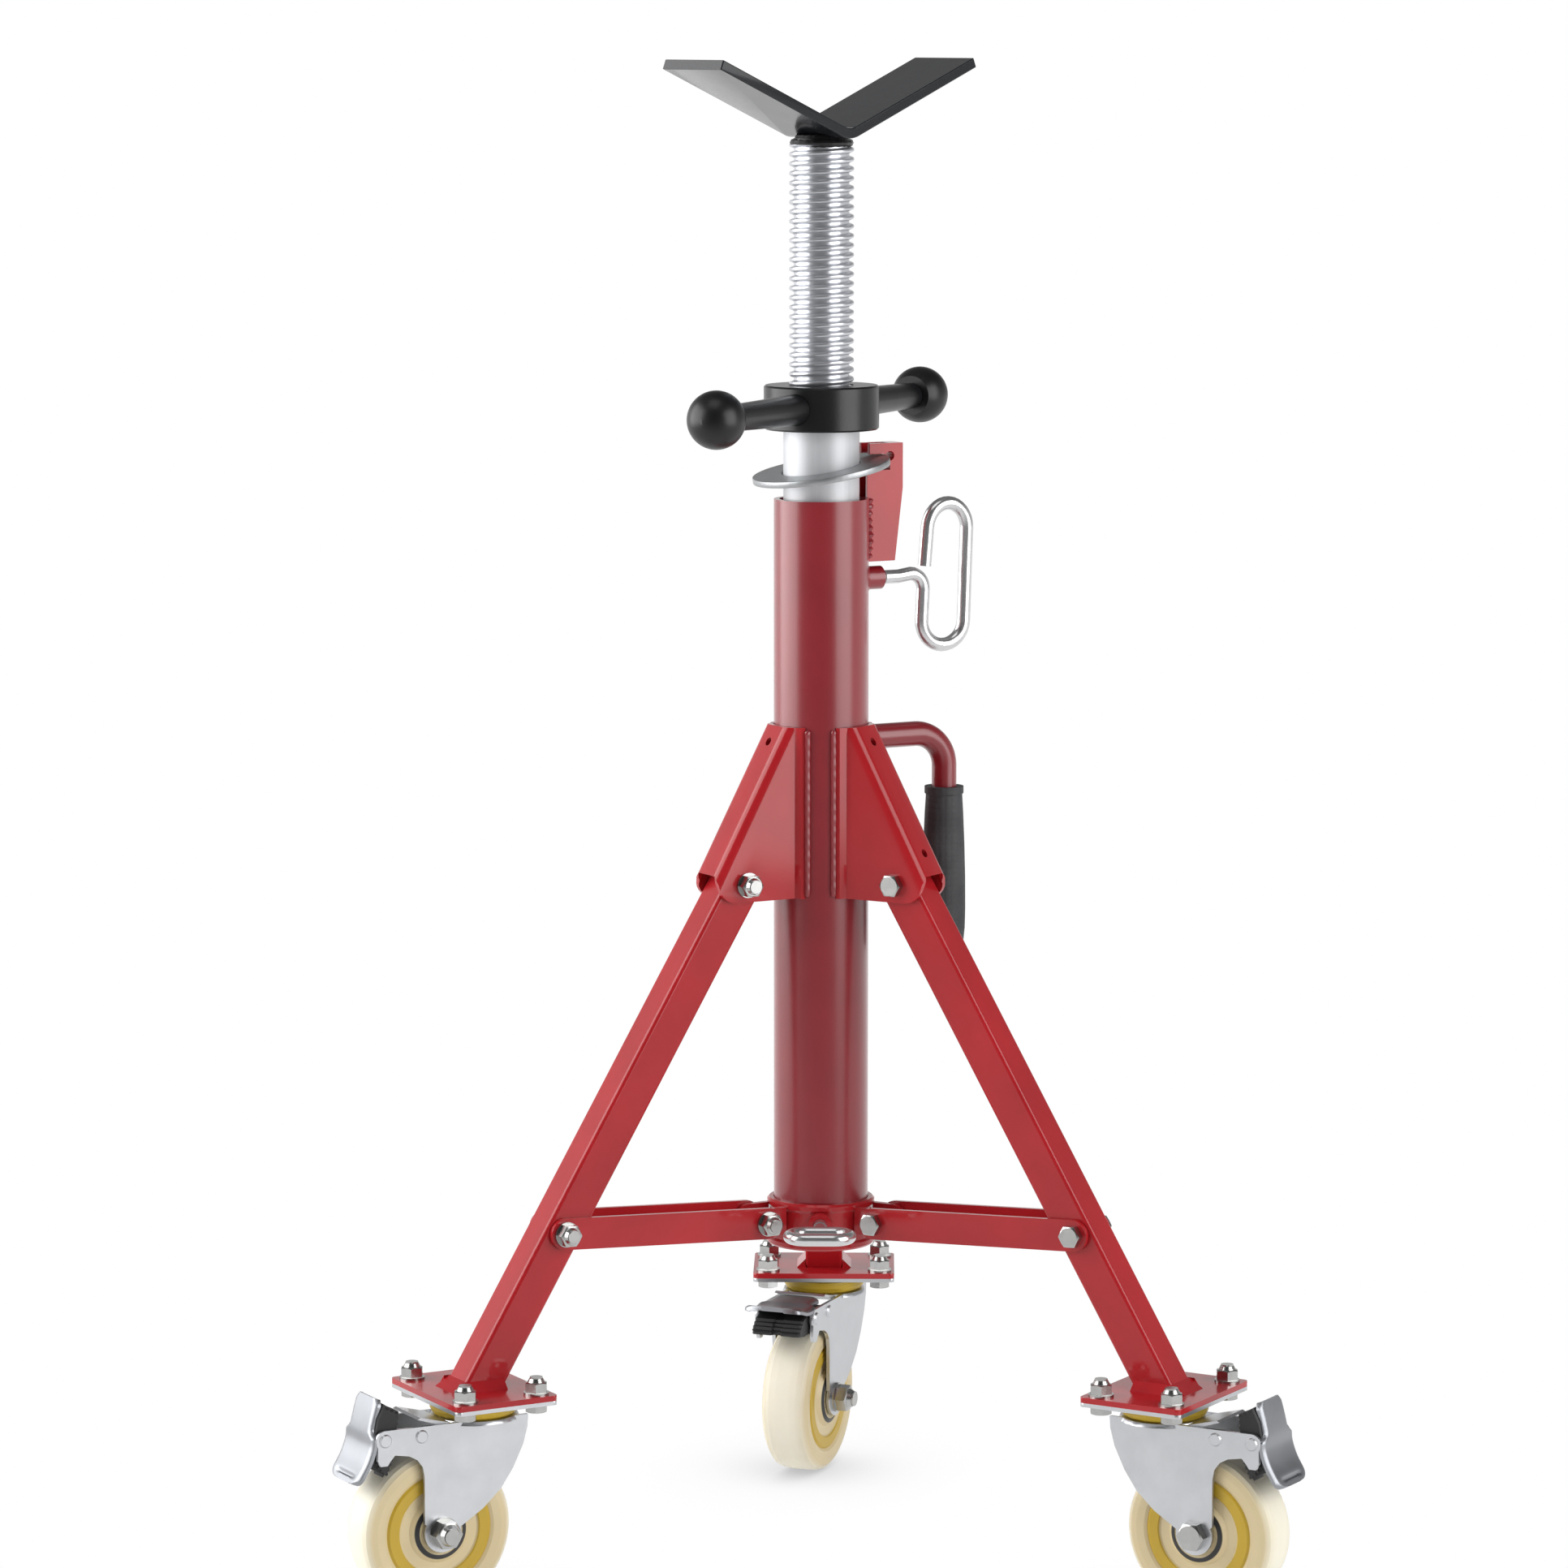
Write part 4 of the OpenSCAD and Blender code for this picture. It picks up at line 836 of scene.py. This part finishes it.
def toothed_outline():
    outline = []
    for k, (a, b) in enumerate(zip(SHOE_SHARES, SHOE_SHARES[1:] + SHOE_SHARES[:1])):
        if k not in TOOTHED_SIDES:
            outline.append(a)
            continue
        length = math.hypot(b[0] - a[0], b[1] - a[1])
        teeth = max(1, round(length / TOOTH_PITCH_SHARE))
        nx, nz = (b[1] - a[1]) / length, -(b[0] - a[0]) / length
        for i in range(teeth):
            for f, height in ((i / teeth, 0.0), ((i + 0.5) / teeth, TOOTH_HEIGHT_SHARE)):
                x, z = a[0] + (b[0] - a[0]) * f, a[1] + (b[1] - a[1]) * f
                outline.append((x + nx * height, z + nz * height))
    return outline


def brake_shoe(leg):
    outline = toothed_outline()
    cx = sum(x for x, _ in outline) / len(outline)
    cz = sum(z for _, z in outline) / len(outline)
    right = [(SEAM_IN, SEAM_SHARE), (SEAM_OUT, 1.0),
             (SHOE_HALF - SHOE_CHAMFER, 1.0), (SHOE_HALF, CHAMFER_SHARE)]
    bm = bmesh.new()
    rings = []
    for y, share in [(-y, share) for y, share in reversed(right)] + right:
        ring = []
        for x, z in outline:
            px, pz = (cx + (x - cx) * share) * WHEEL_R, (cz + (z - cz) * share) * WHEEL_R
            ring.append(bm.verts.new(brake_point(leg, px, y, pz)))
        rings.append(ring)
    count = len(outline)
    for a, b in zip(rings, rings[1:]):
        for k in range(count):
            n = (k + 1) % count
            bm.faces.new((a[k], a[n], b[n], b[k]))
    bm.faces.new(list(reversed(rings[0])))
    bm.faces.new(rings[-1])
    name = "brake_shoe_" + leg
    obj = link(name + "_toothed", bm, "brake_black", "brake_" + leg, smooth=25.0)
    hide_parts(name)


for leg_name in LEGS:
    brake_pedal(leg_name)
    brake_shoe(leg_name)


# Two beads round the boss under the V head

def head_weld():
    low_z, high_z = SCREW_TOP + 0.0010, SCREW_TOP + 0.0042
    bm = bmesh.new()
    bead(bm, level_ring(low_z, radius=0.0176), radius=0.0024, lump=0.10, pitch=0.0052, seed=0.5)
    bead(bm, level_ring(high_z, radius=0.0146), radius=0.0022, lump=0.10, pitch=0.0047, seed=1.7)
    link("head_weld", bm, "black_metal", "screw")


head_weld()


# Softened edges of the sheet pieces, as modifiers on the CAD nodes

def soften(node_name, width, segments=2, angle=35.0):
    piece = NODES[node_name]
    weld = piece.modifiers.new("weld", "WELD")
    weld.merge_threshold = 0.00002
    bevel = piece.modifiers.new("bevel", "BEVEL")
    bevel.width = width
    bevel.segments = segments
    bevel.limit_method = "ANGLE"
    bevel.angle_limit = math.radians(angle)
    bevel.use_clamp_overlap = True
    bevel.harden_normals = True


soften("v_head", 0.0009, segments=3)
soften("ring_hook", 0.0006)
soften("lock_ring", 0.0005)
for leg_name in LEGS:
    for part_name, edge_width in (("fork_", 0.0005), ("foot_plate_", 0.0006), ("caster_plate_", 0.0004)):
        soften(part_name + leg_name, edge_width)


# Camera, fitted to the photograph

def place_camera():
    data = bpy.data.cameras.new("camera")
    data.sensor_width = 36.0
    data.lens = 137.6
    data.clip_start = 0.1
    data.clip_end = 50.0
    camera = bpy.data.objects.new("camera", data)
    camera.location = (0.03517, -3.78671, 0.99082)
    camera.rotation_euler = (math.radians(82.61), 0.0, math.radians(0.89))
    bpy.context.scene.collection.objects.link(camera)
    bpy.context.scene.camera = camera


place_camera()


# Studio

def area(name, place, target, size, size_y, power):
    data = bpy.data.lights.new(name, "AREA")
    data.shape = "RECTANGLE"
    data.size = size
    data.size_y = size_y
    data.energy = power
    obj = bpy.data.objects.new(name, data)
    obj.location = place
    aim = Vector(target) - Vector(place)
    obj.rotation_euler = aim.to_track_quat("-Z", "Y").to_euler()
    bpy.context.scene.collection.objects.link(obj)


area("key_left", (-2.4, -0.15, 1.25), target=(0, 0, 0.5), size=2.9, size_y=2.3, power=80)
area("key_right", (2.05, -1.30, 1.15), target=(0, 0, 0.5), size=2.0, size_y=2.2, power=48)
area("top", (-0.3, -0.9, 2.9), target=(0, 0, 0.4), size=1.4, size_y=1.4, power=8)


def studio_world():
    """White where it is seen directly. Glosses see it darker in front, overhead and on the right."""
    world = bpy.data.worlds.new("studio")
    bpy.context.scene.world = world
    world.use_nodes = True
    tree = world.node_tree
    black, white = (0.0, 0.0, 0.0), (1.0, 1.0, 1.0)
    fill = tree.nodes["Background"]
    fill.inputs["Color"].default_value = (*white, 1.0)
    fill.inputs["Strength"].default_value = 0.20
    seen = tree.nodes.new("ShaderNodeBackground")
    seen.inputs["Strength"].default_value = 1.0
    where = tree.nodes.new("ShaderNodeTexCoord")
    axes = tree.nodes.new("ShaderNodeSeparateXYZ")
    tree.links.new(where.outputs["Generated"], axes.inputs["Vector"])
    depth = share_of(tree, axes.outputs["Y"], -1.0, 1.0)
    behind = grey_ramp(tree, depth, [(0.02, 0.08), (0.13, 0.20), (0.27, 0.80), (0.42, 1.0)])
    overhead = grey_ramp(tree, axes.outputs["Z"], [(0.10, 1.0), (0.45, 0.22), (0.8, 0.15)])
    sideways = grey_ramp(tree, axes.outputs["X"], [(0.15, 1.0), (0.55, 0.50), (1.0, 0.50)])
    around = between(tree, sideways, black, between(tree, overhead, black, behind))
    tree.links.new(between(tree, ray_kind(tree, "Camera"), around, white), seen.inputs["Color"])
    surface = mixed(tree, seen_rays(tree), fill.outputs["Background"], seen.outputs["Background"])
    tree.links.new(surface, tree.nodes["World Output"].inputs["Surface"])


studio_world()


def floor():
    """A pale floor, seen as white with a soft contact shadow. It hides no part of a folded leg."""
    below, half_size = 0.0005, 12.0
    mesh = bpy.data.meshes.new("floor")
    bm = bmesh.new()
    bmesh.ops.create_grid(bm, x_segments=1, y_segments=1, size=half_size)
    bm.to_mesh(mesh)
    bm.free()
    obj = bpy.data.objects.new("floor", mesh)
    bpy.context.scene.collection.objects.link(obj)
    obj.location = (0, 0, -below)
    mat, tree, bsdf = shader("floor_white", 0.9, spec=0.0)
    nodes, links = tree.nodes, tree.links
    bsdf.inputs["Base Color"].default_value = (0.9, 0.9, 0.9, 1.0)
    coords = nodes.new("ShaderNodeTexCoord")
    axes = nodes.new("ShaderNodeSeparateXYZ")
    links.new(coords.outputs["Object"], axes.inputs["Vector"])
    depth = share_of(tree, axes.outputs["Y"], -3.0, 1.0)
    glow = nodes.new("ShaderNodeEmission")
    shown = grey_ramp(tree, depth, [(0.0, 0.25), (0.35, 0.50), (0.58, 0.92), (1.0, 1.0)])
    links.new(shown, glow.inputs["Color"])
    solid = mixed(tree, seen_rays(tree), bsdf.outputs["BSDF"], glow.outputs["Emission"])
    near = nodes.new("ShaderNodeAmbientOcclusion")
    near.samples = 16
    near.inputs["Distance"].default_value = 0.10
    clear = nodes.new("ShaderNodeBsdfTransparent")
    shadow = grey_ramp(tree, near.outputs["AO"], [(0.0, 0.50), (0.85, 0.97), (1.0, 1.0)])
    links.new(shadow, clear.inputs["Color"])
    through = highest(tree, ray_kind(tree, "Camera"), ray_kind(tree, "Shadow"))
    surface = mixed(tree, through, solid, clear.outputs["BSDF"])
    links.new(surface, nodes["Material Output"].inputs["Surface"])
    mesh.materials.append(mat)


floor()
bpy.context.scene.view_settings.view_transform = "Standard"
